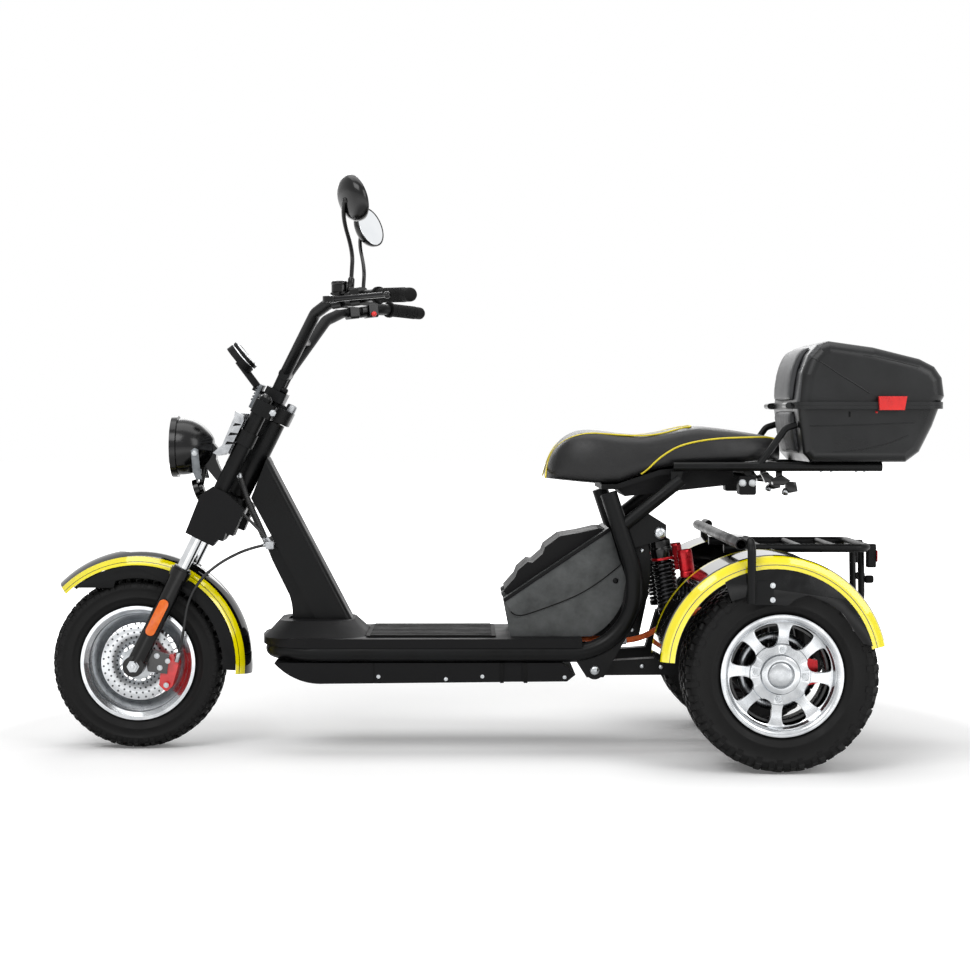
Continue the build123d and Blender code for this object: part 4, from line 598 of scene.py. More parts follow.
# shocks: damper, coil of round wire, red collar and red reservoir
shock = {"foot": (-0.431, 0.316), "head": (-0.399, 0.529), "spread": 0.112, "coil": 0.0235, "wire": 0.0042,
         "turns": 11, "around": 16, "reservoir": 0.066, "reservoir at": (-0.054, 0.004, 0)}
gunBlack = surface("black chromed steel", "#1a1a1c", "#0e0e10", 0.2,  # spring lacquer
                   grain=3, height=0.01, cloud=20, spread=0.08, Metallic=0.7)


# a profile of (radius, distance) turned about the line that starts at a point and runs one way
def turned(profile, at, way, steps=40):
    form = lathe(profile, (0, 0, 0), steps)
    form.transform(Matrix.Translation(at) @ Vector(way).to_track_quat("Y", "Z").to_matrix().to_4x4())
    return form


for side, name in hands:
    foot, head = (Vector((x, side * shock["spread"], z)) for x, z in (shock["foot"], shock["head"]))
    way = (head - foot).normalized()
    long = (head - foot).length
    eyes = [turned([(0.0085, -0.011), (0.0145, -0.011), (0.0155, -0.009), (0.0155, 0.009), (0.0145, 0.011),
                    (0.0085, 0.011), (0.0085, -0.011)], end, left, 32) for end in (foot, head)]
    body = turned(softened([(0.009, 0.012), (0.009, 0.019), (0.027, 0.021), (0.028, 0.032), (0.016, 0.034),
                            (0.0155, 0.12), (0.012, 0.122), (0.012, long - 0.062), (0.0255, long - 0.061),
                            (0.0265, long - 0.04), (0.024, long - 0.036), (0.024, long - 0.02),
                            (0.015, long - 0.014), (0.009, long - 0.01)], 0.001), foot, way)
    damper = finished(f"shock_body_{name}", eyes + [body], glossPlastic, "chassis")
    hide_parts(f"shock_{name}")
    low, high = 0.034 + shock["wire"], long - 0.066 - shock["wire"]
    ahead = Vector(left).cross(way).normalized()
    points = []
    steps = shock["turns"] * shock["around"]
    for step in range(steps + 1):
        angle = step * math.tau / shock["around"]
        out = ahead * math.cos(angle) + Vector(left) * math.sin(angle)
        points.append(foot + way * (low + (high - low) * step / steps) + out * shock["coil"])
    pipe(f"shock_coil_{name}", points, shock["wire"], gunBlack, "chassis", sides=2)
    collar = turned(softened([(0.02, long - 0.0665), (0.0272, long - 0.0665), (0.0272, long - 0.0605),
                              (0.02, long - 0.0605)], 0.001), foot, way)
    x, y, z = shock["reservoir at"]
    tall = shock["reservoir"]
    can = turned(softened([(0.0165, 0.0), (0.0178, 0.002), (0.0178, 0.012), (0.0168, 0.0135), (0.0168, 0.0155),
                           (0.0178, 0.017), (0.0178, tall - 0.006), (0.0165, tall)], 0.0008),
                 foot + way * (long - 0.108) + Vector((x, side * y, z)), way)
    finished(f"shock_reservoir_{name}", [can, collar], redAnodised, "chassis")
print("shocks dressed")

# bolts: heads with their washers, set by Geometry Nodes, one piece for each body and finish
boltForms = {  # sides, and a profile of (radius, height) in bolt radii
    "socket": (16, [(0.0, 0.55), (0.42, 0.55), (0.45, 1.0), (0.78, 1.0), (0.9, 0.9), (0.94, 0.7), (0.94, 0.22),
                    (1.25, 0.22), (1.3, 0.12), (1.3, -0.1), (0.0, -0.1)]),
    "dome": (24, [(0.0, 0.9), (0.25, 0.88), (0.3, 0.72), (0.42, 0.72), (0.48, 0.9), (0.75, 0.72), (0.95, 0.4),
                  (1.0, 0.1), (1.0, -0.1), (0.0, -0.1)]),
    "hex": (6, [(0.0, 1.25), (0.4, 1.25), (0.5, 1.1), (0.5, 0.95), (0.92, 0.95), (1.0, 0.85), (1.0, 0.2),
                (1.3, 0.2), (1.3, -0.1), (0.0, -0.1)]),
}
boltKinds = {}
for kind, (around, profile) in boltForms.items():
    form = lathe(profile, (0, 0, 0), around)
    form.transform(Matrix.Rotation(math.pi / 2, 4, "X"))
    bmesh.ops.recalc_face_normals(form, faces=form.faces)
    boltKinds[kind] = asMesh(kind + " bolt", form)


def setBolts(name, kind, spots, material, body):
    places = []
    for x, y, z, way, radius in spots:
        turn = Vector(way).to_track_quat("Z", "Y").to_euler()
        places.append({"at": Vector((x, y, z)), "turn": tuple(turn), "size": (radius, radius, radius * 0.75)})
    return setBlocks(name, boltKinds[kind], places, material, body, uneven=0.0)


def bothSides(spots):
    return list(spots) + [(x, -y, z, (way[0], -way[1], way[2]), radius) for x, y, z, way, radius in spots]


# cords: each follows its own route
def spaced(points, step):  # even stations along a line
    run = [points[0].copy()]
    due = step
    for start, end in zip(points, points[1:]):
        long = (end - start).length
        while long >= due:
            start = start + (end - start).normalized() * due
            run.append(start.copy())
            long -= due
            due = step
        due -= long
    if (run[-1] - points[-1]).length > step * 0.3:
        run.append(points[-1].copy())
    else:
        run[-1] = points[-1].copy()
    return run


# sweeps a ring along the stations; radii repeat, so a loom tube gets its ribs
def tubeAlong(points, radii, sides=14):
    rings = []
    across = None
    for index, point in enumerate(points):
        ahead = points[min(index + 1, len(points) - 1)] - points[max(index - 1, 0)]
        ahead.normalize()
        across = across or ahead.orthogonal()
        across = (across - ahead * across.dot(ahead)).normalized()
        up = ahead.cross(across)
        radius = radii[index % len(radii)]
        rings.append([point + (across * math.cos(turn) + up * math.sin(turn)) * radius
                      for turn in (side * math.tau / sides for side in range(sides))])
    return skin(rings)


hoseBlack = surface("braided rubber hose", "#141415", "#0a0a0b", 0.45,  # satin rubber
                    grain=0.8, height=0.08, cloud=20)
loomBlack = surface("black loom tube", "#121213", "#090909", 0.5, cloud=20)  # ribbed nylon
ribStep, plainStep = 0.0012, 0.003  # stations along a ribbed and a plain cord
cords = {  # radii repeat along a ribbed cord
    "brake_hose_feed": {
        "skin": hoseBlack, "slot": "black_rubber", "radius": 0.0035, "radii": (0.0035,),
        "bend": ("steering", "chassis"),
        "points": ((0.61966, 0.072, 0.58581), (0.59281, 0.072, 0.57243), (0.562, 0.067, 0.539),
                   (0.538, 0.061, 0.513))},
    "brake_hose": {
        "skin": hoseBlack, "slot": "black_rubber", "radius": 0.0035, "radii": (0.0035,),
        "bend": ("chassis", "steering"),
        "points": ((0.546, 0.061, 0.494), (0.574, 0.068, 0.488), (0.612, 0.081, 0.473), (0.652, 0.089, 0.45),
                   (0.686, 0.092, 0.421), (0.71, 0.092, 0.388), (0.725, 0.091, 0.35), (0.731, 0.087, 0.308),
                   (0.738, 0.08, 0.27), (0.747, 0.075, 0.238))},
    "harness_conduit": {
        "skin": loomBlack, "slot": "black_rubber", "radius": 0.0085, "radii": (0.0085, 0.0085, 0.0077, 0.0077),
        "bend": ("steering", "chassis"),
        "points": ((0.601, 0.05, 0.655), (0.59, 0.052, 0.62), (0.578, 0.05, 0.588), (0.561, 0.04, 0.549),
                   (0.546, 0.037, 0.513))},
    "motor_cable": {
        "skin": orangeHose, "slot": None, "radius": 0.0075, "radii": (0.0075, 0.0075, 0.0069, 0.0069),
        "bend": None,
        "points": ((-0.215, 0.062, 0.269), (-0.262, 0.062, 0.269), (-0.312, 0.06, 0.263), (-0.362, 0.058, 0.269),
                   (-0.416, 0.056, 0.299), (-0.474, 0.053, 0.327), (-0.526, 0.051, 0.342), (-0.5613, 0.05, 0.32771),
                   (-0.58058, 0.05, 0.30473))},
}
for name, cord in cords.items():
    radii = cord["radii"]
    path = [vertex.co.copy() for vertex in routed(name + " route", cord["points"], along=12).vertices]
    long = sum((b - a).length for a, b in zip(path, path[1:]))
    stations = spaced(path, ribStep if len(radii) > 1 else plainStep)
    tube = finished(name + "_run", tubeAlong(stations, radii), cord["skin"], None)
    if cord["bend"]:
        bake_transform(tube)
    else:
        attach(tube, "chassis")
print("cords laid")


# small made forms: a slab cut from an outline of (x, z) and standing from y0 to y1, with eased edges
def slab(outline, y0, y1, ease=0.0008):
    form = bmesh.new()
    face = form.faces.new([form.verts.new((x, y0, z)) for x, z in outline])
    grown = bmesh.ops.extrude_face_region(form, geom=[face])["geom"]
    bmesh.ops.translate(form, verts=[item for item in grown if isinstance(item, bmesh.types.BMVert)],
                        vec=(0, y1 - y0, 0))
    bmesh.ops.recalc_face_normals(form, faces=form.faces)
    if ease:
        bmesh.ops.bevel(form, geom=form.edges[:], offset=ease, segments=2, affect="EDGES", profile=0.5)
    return form


def roundedOutline(middle, long, wide, radius, turn=0.0, steps=6):  # long lies along x before the turn
    points = []
    for corner in range(4):
        cx = (1 if corner in (0, 3) else -1) * (long / 2 - radius)
        cz = (1 if corner < 2 else -1) * (wide / 2 - radius)
        for step in range(steps + 1):
            angle = (corner + step / steps) * math.pi / 2
            x, z = cx + radius * math.cos(angle), cz + radius * math.sin(angle)
            points.append((middle[0] + x * math.cos(turn) - z * math.sin(turn),
                           middle[1] + x * math.sin(turn) + z * math.cos(turn)))
    return points


# where a line along y meets a part of the frame from outside
def onSide(part, x, z, side, out=0.0):
    holder = parts[part]
    back = holder.matrix_world.inverted()
    for lift in (0, -0.001, -0.002, -0.004):
        hit, at, normal, _ = holder.ray_cast(back @ Vector((x, side * 0.7, z + lift)),
                                             back.to_3x3() @ Vector((0, -side, 0)))
        if hit:
            return holder.matrix_world @ (at + normal * out)
    return Vector((x, side * 0.188, z))


rake = math.radians(26.5)


def forkPoint(ahead, aside, along):  # from the front axle: ahead of, left of and up the fork
    return Vector((frontAxle[0] + ahead * math.cos(rake) - along * math.sin(rake), aside,
                   frontAxle[2] + ahead * math.sin(rake) + along * math.cos(rake)))


def arc(centre, radius, angles):  # points of (x, z) round a centre, at angles in degrees
    return [(centre[0] + radius * math.cos(math.radians(angle)), centre[2] + radius * math.sin(math.radians(angle)))
            for angle in angles]


def onFork(middle, long, wide, radius):  # a rounded outline whose wide side lies along the fork
    return roundedOutline((middle.x, middle.z), long, wide, radius, rake)


forkWay = (-math.sin(rake), 0, math.cos(rake))
satinGrey = surface("bead blasted aluminium", "#717477", "#4f5255", 0.42,  # lamp bracket
                    grain=0.7, height=0.04, cloud=20, Metallic=0.9)
dialGlass = surface("dial glass", "#050506", "#020203", 0.05,  # black display
                    grain=9, height=0.002, cloud=40, spread=0.02)

# drilled brake disc: holes on rings about the axle, each ring set a third of a hole round from the last
drilling = {"first ring": 0.046, "pitch": 0.011, "around": 30, "shift": 0.33, "hole": 0.0024, "swirl": 0.0009}
drilled, tree, shader, place = newMaterial("drilled stainless disc", Metallic=1.0, Roughness=0.3)
moved, reach = aboutAxle(tree, place, frontAxle)
moved = addNode(tree, "SeparateXYZ", {0: moved}).outputs
angle = addNode(tree, "Math", {0: moved["Z"], 1: moved["X"]}, operation="ARCTAN2")
angle = addNode(tree, "Math", {0: angle, 1: drilling["around"] / math.tau}, operation="MULTIPLY")
ring = addNode(tree, "Math", {0: reach, 1: drilling["first ring"]}, operation="SUBTRACT")
ring = addNode(tree, "Math", {0: ring, 1: drilling["pitch"]}, operation="DIVIDE")
row = addNode(tree, "Math", {0: ring}, operation="FLOOR")
around = addNode(tree, "Math", {0: row, 1: drilling["shift"], 2: angle}, operation="MULTIPLY_ADD")
cell = addNode(tree, "CombineXYZ", {0: around, 1: ring})
cell = addNode(tree, "VectorMath", {0: cell}, operation="FRACTION")
cell = addNode(tree, "VectorMath", {0: cell, 1: (0.5, 0.5, 0.0)}, operation="SUBTRACT")
wide = addNode(tree, "Math", {0: reach, 1: math.tau / drilling["around"]}, operation="MULTIPLY")
wide = addNode(tree, "CombineXYZ", {0: wide, 1: drilling["pitch"]})
apart = addNode(tree, "VectorMath", {0: cell, 1: wide}, operation="MULTIPLY")
apart = addNode(tree, "VectorMath", {0: apart}, operation="LENGTH")
# the holes are not cut: each is painted as a dark grey spot on the steel, a painted shade standing in for the hole
hole = addNode(tree, "Math", {0: apart, 1: drilling["hole"]}, operation="LESS_THAN")
swirl = addNode(tree, "Math", {0: reach, 1: drilling["swirl"]}, operation="DIVIDE")
swirl = addNode(tree, "TexNoise", {"W": swirl, "Scale": 1}, noise_dimensions="1D")
fill(tree, shader, {
    "Base Color": addNode(tree, "Mix", {0: hole, 6: twoTones(tree, swirl, "#b9bcbf", "#dcdee0"),
                                        7: linear("#3a3c3e")}, data_type="RGBA"),
    "Normal": addNode(tree, "Bump", {"Height": swirl, "Distance": 0.02 * mm})})
disc = lathe([(0.046, 0.0338), (0.0895, 0.0338), (0.0902, 0.0345), (0.0902, 0.0375), (0.0895, 0.0382),
              (0.046, 0.0382)], frontAxle, 128, closed=True)
finished("front_brake_disc", disc, drilled, "front_wheel")

# red caliper; its outer side is a black bracket
bracketFrom = 0.0683
caliperRed, tree, shader, place = newMaterial("caliper lacquer", Roughness=0.25, Coat_Weight=0.4)
across = addNode(tree, "SeparateXYZ", {0: place}).outputs["Y"]
bracket = addNode(tree, "Math", {0: across, 1: bracketFrom}, operation="GREATER_THAN")
clouds = addNode(tree, "TexNoise", {"Vector": place, "Scale": 45, "Detail": 4})
fill(tree, shader, {
    "Base Color": addNode(tree, "Mix", {0: bracket, 6: twoTones(tree, clouds, "#c4151b", "#e2262a"),
                                        7: linear("#0d0d0e")}, data_type="RGBA"),
    "Normal": addNode(tree, "Bump", {"Height": clouds, "Distance": 0.05 * mm})})
wear("front_caliper", caliperRed)

# the front fender's inner skirts, and the fairing's louvre ends: thin black sheets on its sides, painted shade for
# the dark inside of the slots
skirt = (arc(frontAxle, 0.2372, range(52, 186, 3)) + arc(frontAxle, 0.206, range(184, 73, -3))
         + [(0.905, 0.392), (0.992, 0.392)])
finished("front_fender_skirts", [slab(skirt, side * 0.0585, side * 0.0608, 0.0005) for side in (1, -1)],
         powderCoat, "steering")
# black sheets laid on the fairing: painted shade where the louvre slots open
slit_shade = [slab([(front, z - 0.0034), (front - 0.005, z + 0.0042), (rear, z + 0.0012), (rear, z - 0.0012)],
              side * 0.1086, side * 0.1096, 0)
         for side in (1, -1) for front, rear, z in ((0.611, 0.592, 0.7837), (0.622, 0.595, 0.7614),
                                                    (0.63, 0.603, 0.74))]
finished("fairing_slits", slit_shade, hardRubber, "steering")

# orange reflectors on the sliders' pads
middle = forkPoint(0, 0, 0.131)
for side, name in hands:
    finished(f"fork_reflector_{name}", slab(onFork(middle, 0.0235, 0.094, 0.0115), side * 0.1187, side * 0.1217),
             amberLens, "steering")
    finished(f"reflector_frame_{name}", slab(onFork(middle, 0.0275, 0.0985, 0.0135), side * 0.11, side * 0.1192),
             moulding, "steering")

bright = [(0.85, 0.1141, 0.209, left, 0.0115), (0.5153, 0.1201, 0.8112, left, 0.0062),
          (0.644, 0.1201, 0.622, left, 0.0058), (0.6535, 0.1201, 0.6055, left, 0.0058),
          (0.7086, 0.064, 0.7155, left, 0.0055)]
setBolts("fork_bolts", "hex", bothSides(bright), zincSteel, "steering")
setBolts("caliper_bolts", "socket", [(0.7998, 0.0738, 0.2296, left, 0.0052), (0.793, 0.0738, 0.201, left, 0.0052),
                                     (0.773, 0.0802, 0.218, left, 0.005), (0.777, 0.0802, 0.16, left, 0.005)],
         zincSteel, "steering")
setBolts("fork_caps", "dome", [(*forkPoint(0, side * 0.095, 0.7121), forkWay, 0.013) for side in (1, -1)],
         glossPlastic, "steering")

# ignition lock, clamp knob and plate on the upper yoke
# its ends on the axis are left out of the rounding
lock = turned(softened([(0.0, 0.0), (0.0125, 0.0), (0.0125, 0.016), (0.01, 0.019), (0.0, 0.019)], 0.001)[4:-4],
              forkPoint(-0.056, 0.01, 0.7032), forkWay, 28)
finished("ignition_lock", lock, castAluminium, "steering")
knob = turned([(0.0, 0.0), (0.0105, 0.0), (0.0105, 0.01), (0.0085, 0.013), (0.0, 0.013)],
              forkPoint(-0.022, 0.03, 0.7385), forkWay, 20)
finished("clamp_knob", knob, moulding, "steering")
plate = [slab(onFork(forkPoint(0.03, 0, 0.708) + Vector((0.004, 0, -0.004)), 0.009, 0.062, 0.002), -0.034, 0.034)]
plate += [slab(onFork(forkPoint(0.0365, 0, 0.692 + 0.008 * step), 0.006, 0.0045, 0.001), -0.032, 0.032, 0)
          for step in range(5)]
finished("yoke_plate", plate, satinGrey, "steering")

# lamp: satin arms, milky glass and a wire guard
arms = [slab([(0.7, 0.724), (0.709, 0.728), (0.718, 0.722), (0.7135, 0.672), (0.706, 0.652), (0.69, 0.652),
              (0.6945, 0.672)], side * 0.06, side * 0.0634) for side in (1, -1)]
finished("lamp_arms", arms, satinGrey, "steering")
lens = turned([(0.0, 0.099), (0.02, 0.0985), (0.04, 0.0965), (0.056, 0.0925), (0.065, 0.088), (0.065, 0.086),
               (0.0, 0.086)], (0.671, 0, 0.73), (1, 0, 0), 64)
glass = finished("headlight_glass", lens, clearLens, "steering")
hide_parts("headlight_lens")
lampGuard = {"heights": (-0.042, -0.021, 0.0, 0.021, 0.042), "radius": 0.068, "at": (0.7669, 0.73), "sag": 0.002,
             "wire": 0.0018}
for step, height in enumerate(lampGuard["heights"]):
    reach = math.sqrt(lampGuard["radius"] ** 2 - height ** 2)
    line = [(lampGuard["at"][0] - lampGuard["sag"] * (reach * t / lampGuard["radius"]) ** 2, reach * t,
             lampGuard["at"][1] + height) for t in (-1, -0.6, -0.2, 0.2, 0.6, 1)]
    pipe(f"lamp_guard_{step + 1}", line, lampGuard["wire"], glossPlastic, "steering")

# speedometer: glass dial in a thin bright ring
dialAt, dialWay = (0.598, 0, 0.948), (-0.77, 0, 0.64)
dial = turned([(0.0, 0.0112), (0.033, 0.0108), (0.034, 0.01), (0.0, 0.0095)], dialAt, dialWay, 48)
finished("speedometer_glass", dial, dialGlass, "steering")
rings = [turned(profile, dialAt, dialWay, 64) for profile in (
    [(0.034, 0.0098), (0.034, 0.0112), (0.037, 0.0112), (0.0372, 0.0098)],
    [(0.0389, -0.001), (0.0397, -0.001), (0.0396, 0.0012), (0.0388, 0.0012)])]
finished("speedometer_rings", rings, chrome, "steering")

# grips with domed ends and ribs, reservoir caps, levers and the horn button
capSpots = []
for side, name in hands:
    inner, outer = Vector((0.259, side * 0.285, 1.078)), Vector((0.184, side * 0.375, 1.074))
    long = (outer - inner).length
    sleeve = [(0.015, long - 0.001), (0.016, long - 0.0008), (0.0158, long + 0.004), (0.0148, long + 0.0085),
              (0.0125, long + 0.012), (0.0085, long + 0.0145), (0.0, long + 0.0155)]
    finished(f"grip_end_{name}", turned(sleeve, inner, outer - inner, 32), hardRubber, "steering")
    ribs = [turned([(0.0159, at), (0.0168, at + 0.0006), (0.0168, at + 0.0022), (0.0159, at + 0.0028)],
                   inner, outer - inner, 32) for at in (0.012 + 0.0065 * step for step in range(14))]
    finished(f"grip_ribs_{name}", ribs, hardRubber, "steering")
    x, y, z = 0.349, side * 0.2246, 1.1112
    cup = turned([(0.0, 0.0035), (0.015, 0.0035), (0.0185, 0.0028), (0.0198, 0.0), (0.0198, -0.005),
                  (0.019, -0.0055)], (x, y, z), up, 40)
    finished(f"reservoir_cap_{name}", cup, glossPlastic, "steering")
    capSpots += [(x + 0.011, y, z + 0.0034, up, 0.0026), (x - 0.011, y, z + 0.0034, up, 0.0026)]
    pivot, tip = Vector((0.367, side * 0.2566, 1.0706)), Vector((0.233, side * 0.385, 1.074))
    lever = turned([(0.0, -0.004), (0.0085, -0.003), (0.0088, 0.012), (0.0064, 0.03), (0.0058, 0.12),
                    (0.006, (tip - pivot).length - 0.012)], pivot, tip - pivot, 20)
    finished(f"brake_lever_{name}", lever, gunBlack, "steering")
    capSpots.append((pivot.x, pivot.y, pivot.z + 0.007, up, 0.0055))
setBolts("control_screws", "dome", capSpots, chrome, "steering")
button = turned([(0.0068, -0.001), (0.0068, 0.003), (0.0055, 0.0052), (0.0, 0.0062)], (0.2935, -0.2294, 1.064),
                (-0.451, 0.886, 0), 28)
finished("horn_button", button, redPlastic, "steering")
print("steering dressed")

# mirrors: domed bowls with silvered glass, on bent stems with clamps round the bar
mirror = {"head": (0.315, 0.33, 1.2915), "facing": (-0.8, -0.52, 0.3), "clamp": (0.3234, 0.2377, 1.0738),
          "bar": (-0.8855, 0.4506, 0.1092), "stem": 0.005}
stems = []
for side, name in hands:
    head, facing, clamp, run = (Vector((x, side * y, z)) for x, y, z in (
        mirror["head"], mirror["facing"], mirror["clamp"], mirror["bar"]))
    facing.normalize()
    glass = turned([(0.0, 0.0094), (0.0496, 0.0094), (0.0496, 0.0108), (0.048, 0.0114), (0.0, 0.0116)],
                   head, facing, 64)
    finished(f"mirror_glass_{name}", glass, mirrorGlass, "steering")
    bowl = [(0.0, -0.018), (0.015, -0.0174), (0.029, -0.0155), (0.0398, -0.012), (0.0475, -0.0065), (0.052, 0.0005),
            (0.053, 0.005), (0.053, 0.011), (0.0522, 0.012), (0.0504, 0.012), (0.05, 0.0112), (0.05, 0.009),
            (0.0, 0.009)]
    stems.append(turned(bowl, head, facing, 64))
    stems.append(turned(softened([(0.0143, -0.007), (0.019, -0.007), (0.019, 0.007), (0.0143, 0.007)], 0.001),
                        clamp, run, 32))
    foot = clamp + Vector((0, 0, 0.0145))
    stems.append(turned([(0.0, 0.0), (0.0085, 0.001), (0.0085, 0.01), (0.0072, 0.012), (0.008, 0.014),
                         (0.0078, 0.03), (0.005, 0.036), (0.0, 0.036)], foot, (-0.002, side * 0.0013, 0.03), 24))
    ball = head - facing * 0.018
    stems.append(turned([(0.0, -0.004), (0.007, -0.003), (0.008, 0.002), (0.006, 0.007), (0.0, 0.008)],
                        ball, facing, 24))
    pipe(f"mirror_stem_{name}", [foot, foot + Vector((-0.003, side * 0.002, 0.045)),
                                 foot + Vector((-0.006, side * 0.004, 0.092)),
                                 Vector((0.33, side * 0.322, 1.262)) - facing * 0.01, ball], mirror["stem"],
         glossPlastic, "steering")
mirrorForm = finished("mirror_bowls", stems, glossPlastic, "steering")
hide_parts("mirrors")

# rear wheels: eight brushed spokes; windows are cut from the turned form
wheelProfile = [(0.0, 0.052), (0.029, 0.052), (0.031, 0.058), (0.043, 0.056), (0.046, 0.048), (0.068, 0.048),
                (0.07, 0.044), (0.1135, 0.044), (0.119, 0.046), (0.121, 0.067), (0.124, 0.069), (0.125, 0.0718),
                (0.131, 0.075), (0.138, 0.075), (0.138, 0.07), (0.127, 0.069), (0.125, 0.046), (0.113, 0.034),
                (0.113, -0.034), (0.125, -0.046), (0.127, -0.069), (0.138, -0.07), (0.138, -0.075), (0.131, -0.075),
                (0.121, -0.067), (0.119, -0.046), (0.108, -0.032), (0.108, 0.03), (0.068, 0.03), (0.06, 0.034),
                (0.04, 0.03), (0.034, -0.016), (0.0125, -0.016), (0.0125, 0.018), (0.0, 0.018)]
windowCorners = [(0.1125, 0.028), (0.096, 0.027), (0.073, 0.018), (0.064, 0.008), (0.064, -0.008), (0.073, -0.018),
                 (0.096, -0.027), (0.1125, -0.028), (0.1165, -0.012), (0.1175, 0.0), (0.1165, 0.012)]
wheelFace = {"turn": 5, "spokes": 8, "window": (0.026, 0.049), "bolt ring": 0.055, "bolts": 4,
             "bolt well": (0.045, 0.052), "disc arms": 6, "arm ring": 0.051, "disc": (0.0162, 0.0198)}
capGrey = turnedMetal("anodised hub cap", "#c2c4c6", "#989b9e", 0.3, rearAxle["left"], line=1.0)  # fine lathe rings
for side, name in hands:
    centre = rearAxle[name]
    body = f"rear_wheel_{name}"
    form = lathe([(r, side * y) for r, y in wheelProfile], centre, 160, closed=True)
    wheel = finished(f"rear_wheel_{name}", form, machinedFace, None)
    low, high = (centre[1] + side * y for y in wheelFace["window"])
    cutters = []
    for index in range(wheelFace["spokes"]):
        angle = math.radians(wheelFace["turn"]) + (index + 0.5) * math.tau / wheelFace["spokes"]
        outline = [(centre[0] + r * math.cos(angle) - t * math.sin(angle),
                    centre[2] + r * math.sin(angle) + t * math.cos(angle))
                   for r, t in softened(windowCorners, 0.006, 4)]
        cutters.append(slab(outline, high, low, 0))
    low, high = (centre[1] + side * y for y in wheelFace["bolt well"])
    boltSpots = arc(centre, wheelFace["bolt ring"], [wheelFace["turn"] + 360 * index / wheelFace["bolts"]
                                                     for index in range(wheelFace["bolts"])])
    cutters += [slab(roundedOutline(spot, 0.018, 0.018, 0.0089), high, low, 0) for spot in boltSpots]
    knife = finished(f"{name} wheel cutters", cutters, None, None, smooth=False)
    cut = wheel.modifiers.new("windows", "BOOLEAN")
    cut.operation = "DIFFERENCE"
    cut.solver = "EXACT"
    cut.object = knife
    ease = wheel.modifiers.new("soft edges", "BEVEL")
    ease.width = 0.0011
    ease.segments = 2
    ease.limit_method = "ANGLE"
    ease.angle_limit = math.radians(50)
    made = evaluated(wheel)
    wheel.modifiers.clear()
    wheel.data = made
    bpy.data.objects.remove(knife)
    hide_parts(f"rear_rim_{name}")
    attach(wheel, body)
    disc = [lathe([(r, side * y) for r, y in ((inner, -0.02), (outer, -0.02), (outer, -0.016), (inner, -0.016))],
                  centre, 96, closed=True) for inner, outer in ((0.066, 0.09), (0.0125, 0.034))]
    low, high = (centre[1] - side * y for y in wheelFace["disc"])
    for index in range(wheelFace["disc arms"]):
        angle = index * math.tau / wheelFace["disc arms"]
        spot = arc(centre, wheelFace["arm ring"], [math.degrees(angle)])[0]
        disc.append(slab(roundedOutline(spot, 0.04, 0.012, 0.003, angle), high, low, 0))
    finished(f"rear_disc_{name}", disc, stainless, body)
    cap = lathe([(r, side * y) for r, y in ((0.0, 0.056), (0.012, 0.056), (0.02, 0.0552), (0.027, 0.0535),
                                            (0.0286, 0.052), (0.0, 0.0516))], centre, 64)
    finished(f"hub_cap_{name}", cap, capGrey, body)
    setBolts(f"lug_bolts_{name}", "hex", [(x, side * 0.3601, z, (0, side, 0), 0.0062) for x, z in boltSpots],
             zincSteel, body)
print("wheels and mirrors dressed")

# fender panels: gloss black under the stripes, from the wheel arch down to the guard
panelPoints = [(-0.527, 0.391), (-0.566, 0.402), (-0.576, 0.385), (-0.659, 0.383), (-0.676, 0.398), (-0.703, 0.406),
               (-0.747, 0.388), (-0.781, 0.364), (-0.809, 0.319), (-0.826, 0.297)]
panelArc = {"radius": 0.2255, "from": 166.5, "to": 60.5, "steps": 24}
arcPoints = arc(fenderPaints["rear"]["centre"], panelArc["radius"],
                [panelArc["from"] + (panelArc["to"] - panelArc["from"]) * step / panelArc["steps"]
                 for step in range(panelArc["steps"] + 1)])
panelBlack = surface("gloss fender inner", "#0f1011", "#050506", 0.2,  # inner panel, a little streaked
                     grain=6, height=0.02, cloud=28, spread=0.1, specular=0.22)
for side, name in hands:
    outline = softened(panelPoints, 0.006, 3) + arcPoints
    finished(f"fender_panel_{name}", slab(outline, side * 0.4112, side * 0.4155), panelBlack, "chassis")

# battery housing: scuffed raised side panel with a black lip along its slope, and a thin black cord under its lower
# edge, painted shade in the groove there; seams across the belly
for side, name in hands:
    raised = [(-0.048, 0.34), (-0.06, 0.325), (-0.118, 0.344), (-0.188, 0.37), (-0.235, 0.394), (-0.283, 0.429),
              (-0.309, 0.452), (-0.2845, 0.5324), (-0.0335, 0.3634)]
    finished(f"housing_panel_{name}", slab(raised, side * 0.1148, side * 0.1182), scuffedPanel, "chassis")
    # a black cord along the panel's lower edge: painted shade in the groove beneath it
    shadedEdge = [(x, side * 0.1182, z) for x, z in raised[:7]]
    pipe(f"housing_crease_{name}", shadedEdge, 0.0014, hardRubber, "chassis")
    setBolts(f"housing_bolt_{name}", "dome", [(-0.297, side * 0.115, 0.413, (0, side, 0), 0.0068)], powderCoat,
             "chassis")
    lip = [(-0.0335, 0.3634), (-0.029, 0.37), (-0.28, 0.539), (-0.2845, 0.5324)]
    finished(f"housing_lip_{name}", slab(lip, side * 0.1146, side * 0.1212), moulding, "chassis")
    for step, x in enumerate((0.276, -0.026, -0.082)):
        wide = 0.0015 if step == 0 else 0.0045
        seam = [(x - wide, 0.1745), (x + wide, 0.1745), (x + wide, 0.2215), (x - wide, 0.2215)]
        finished(f"belly_seam_{name}_{step + 1}", slab(seam, side * 0.153, side * 0.1546, 0.0003), hardRubber,
                 "chassis")

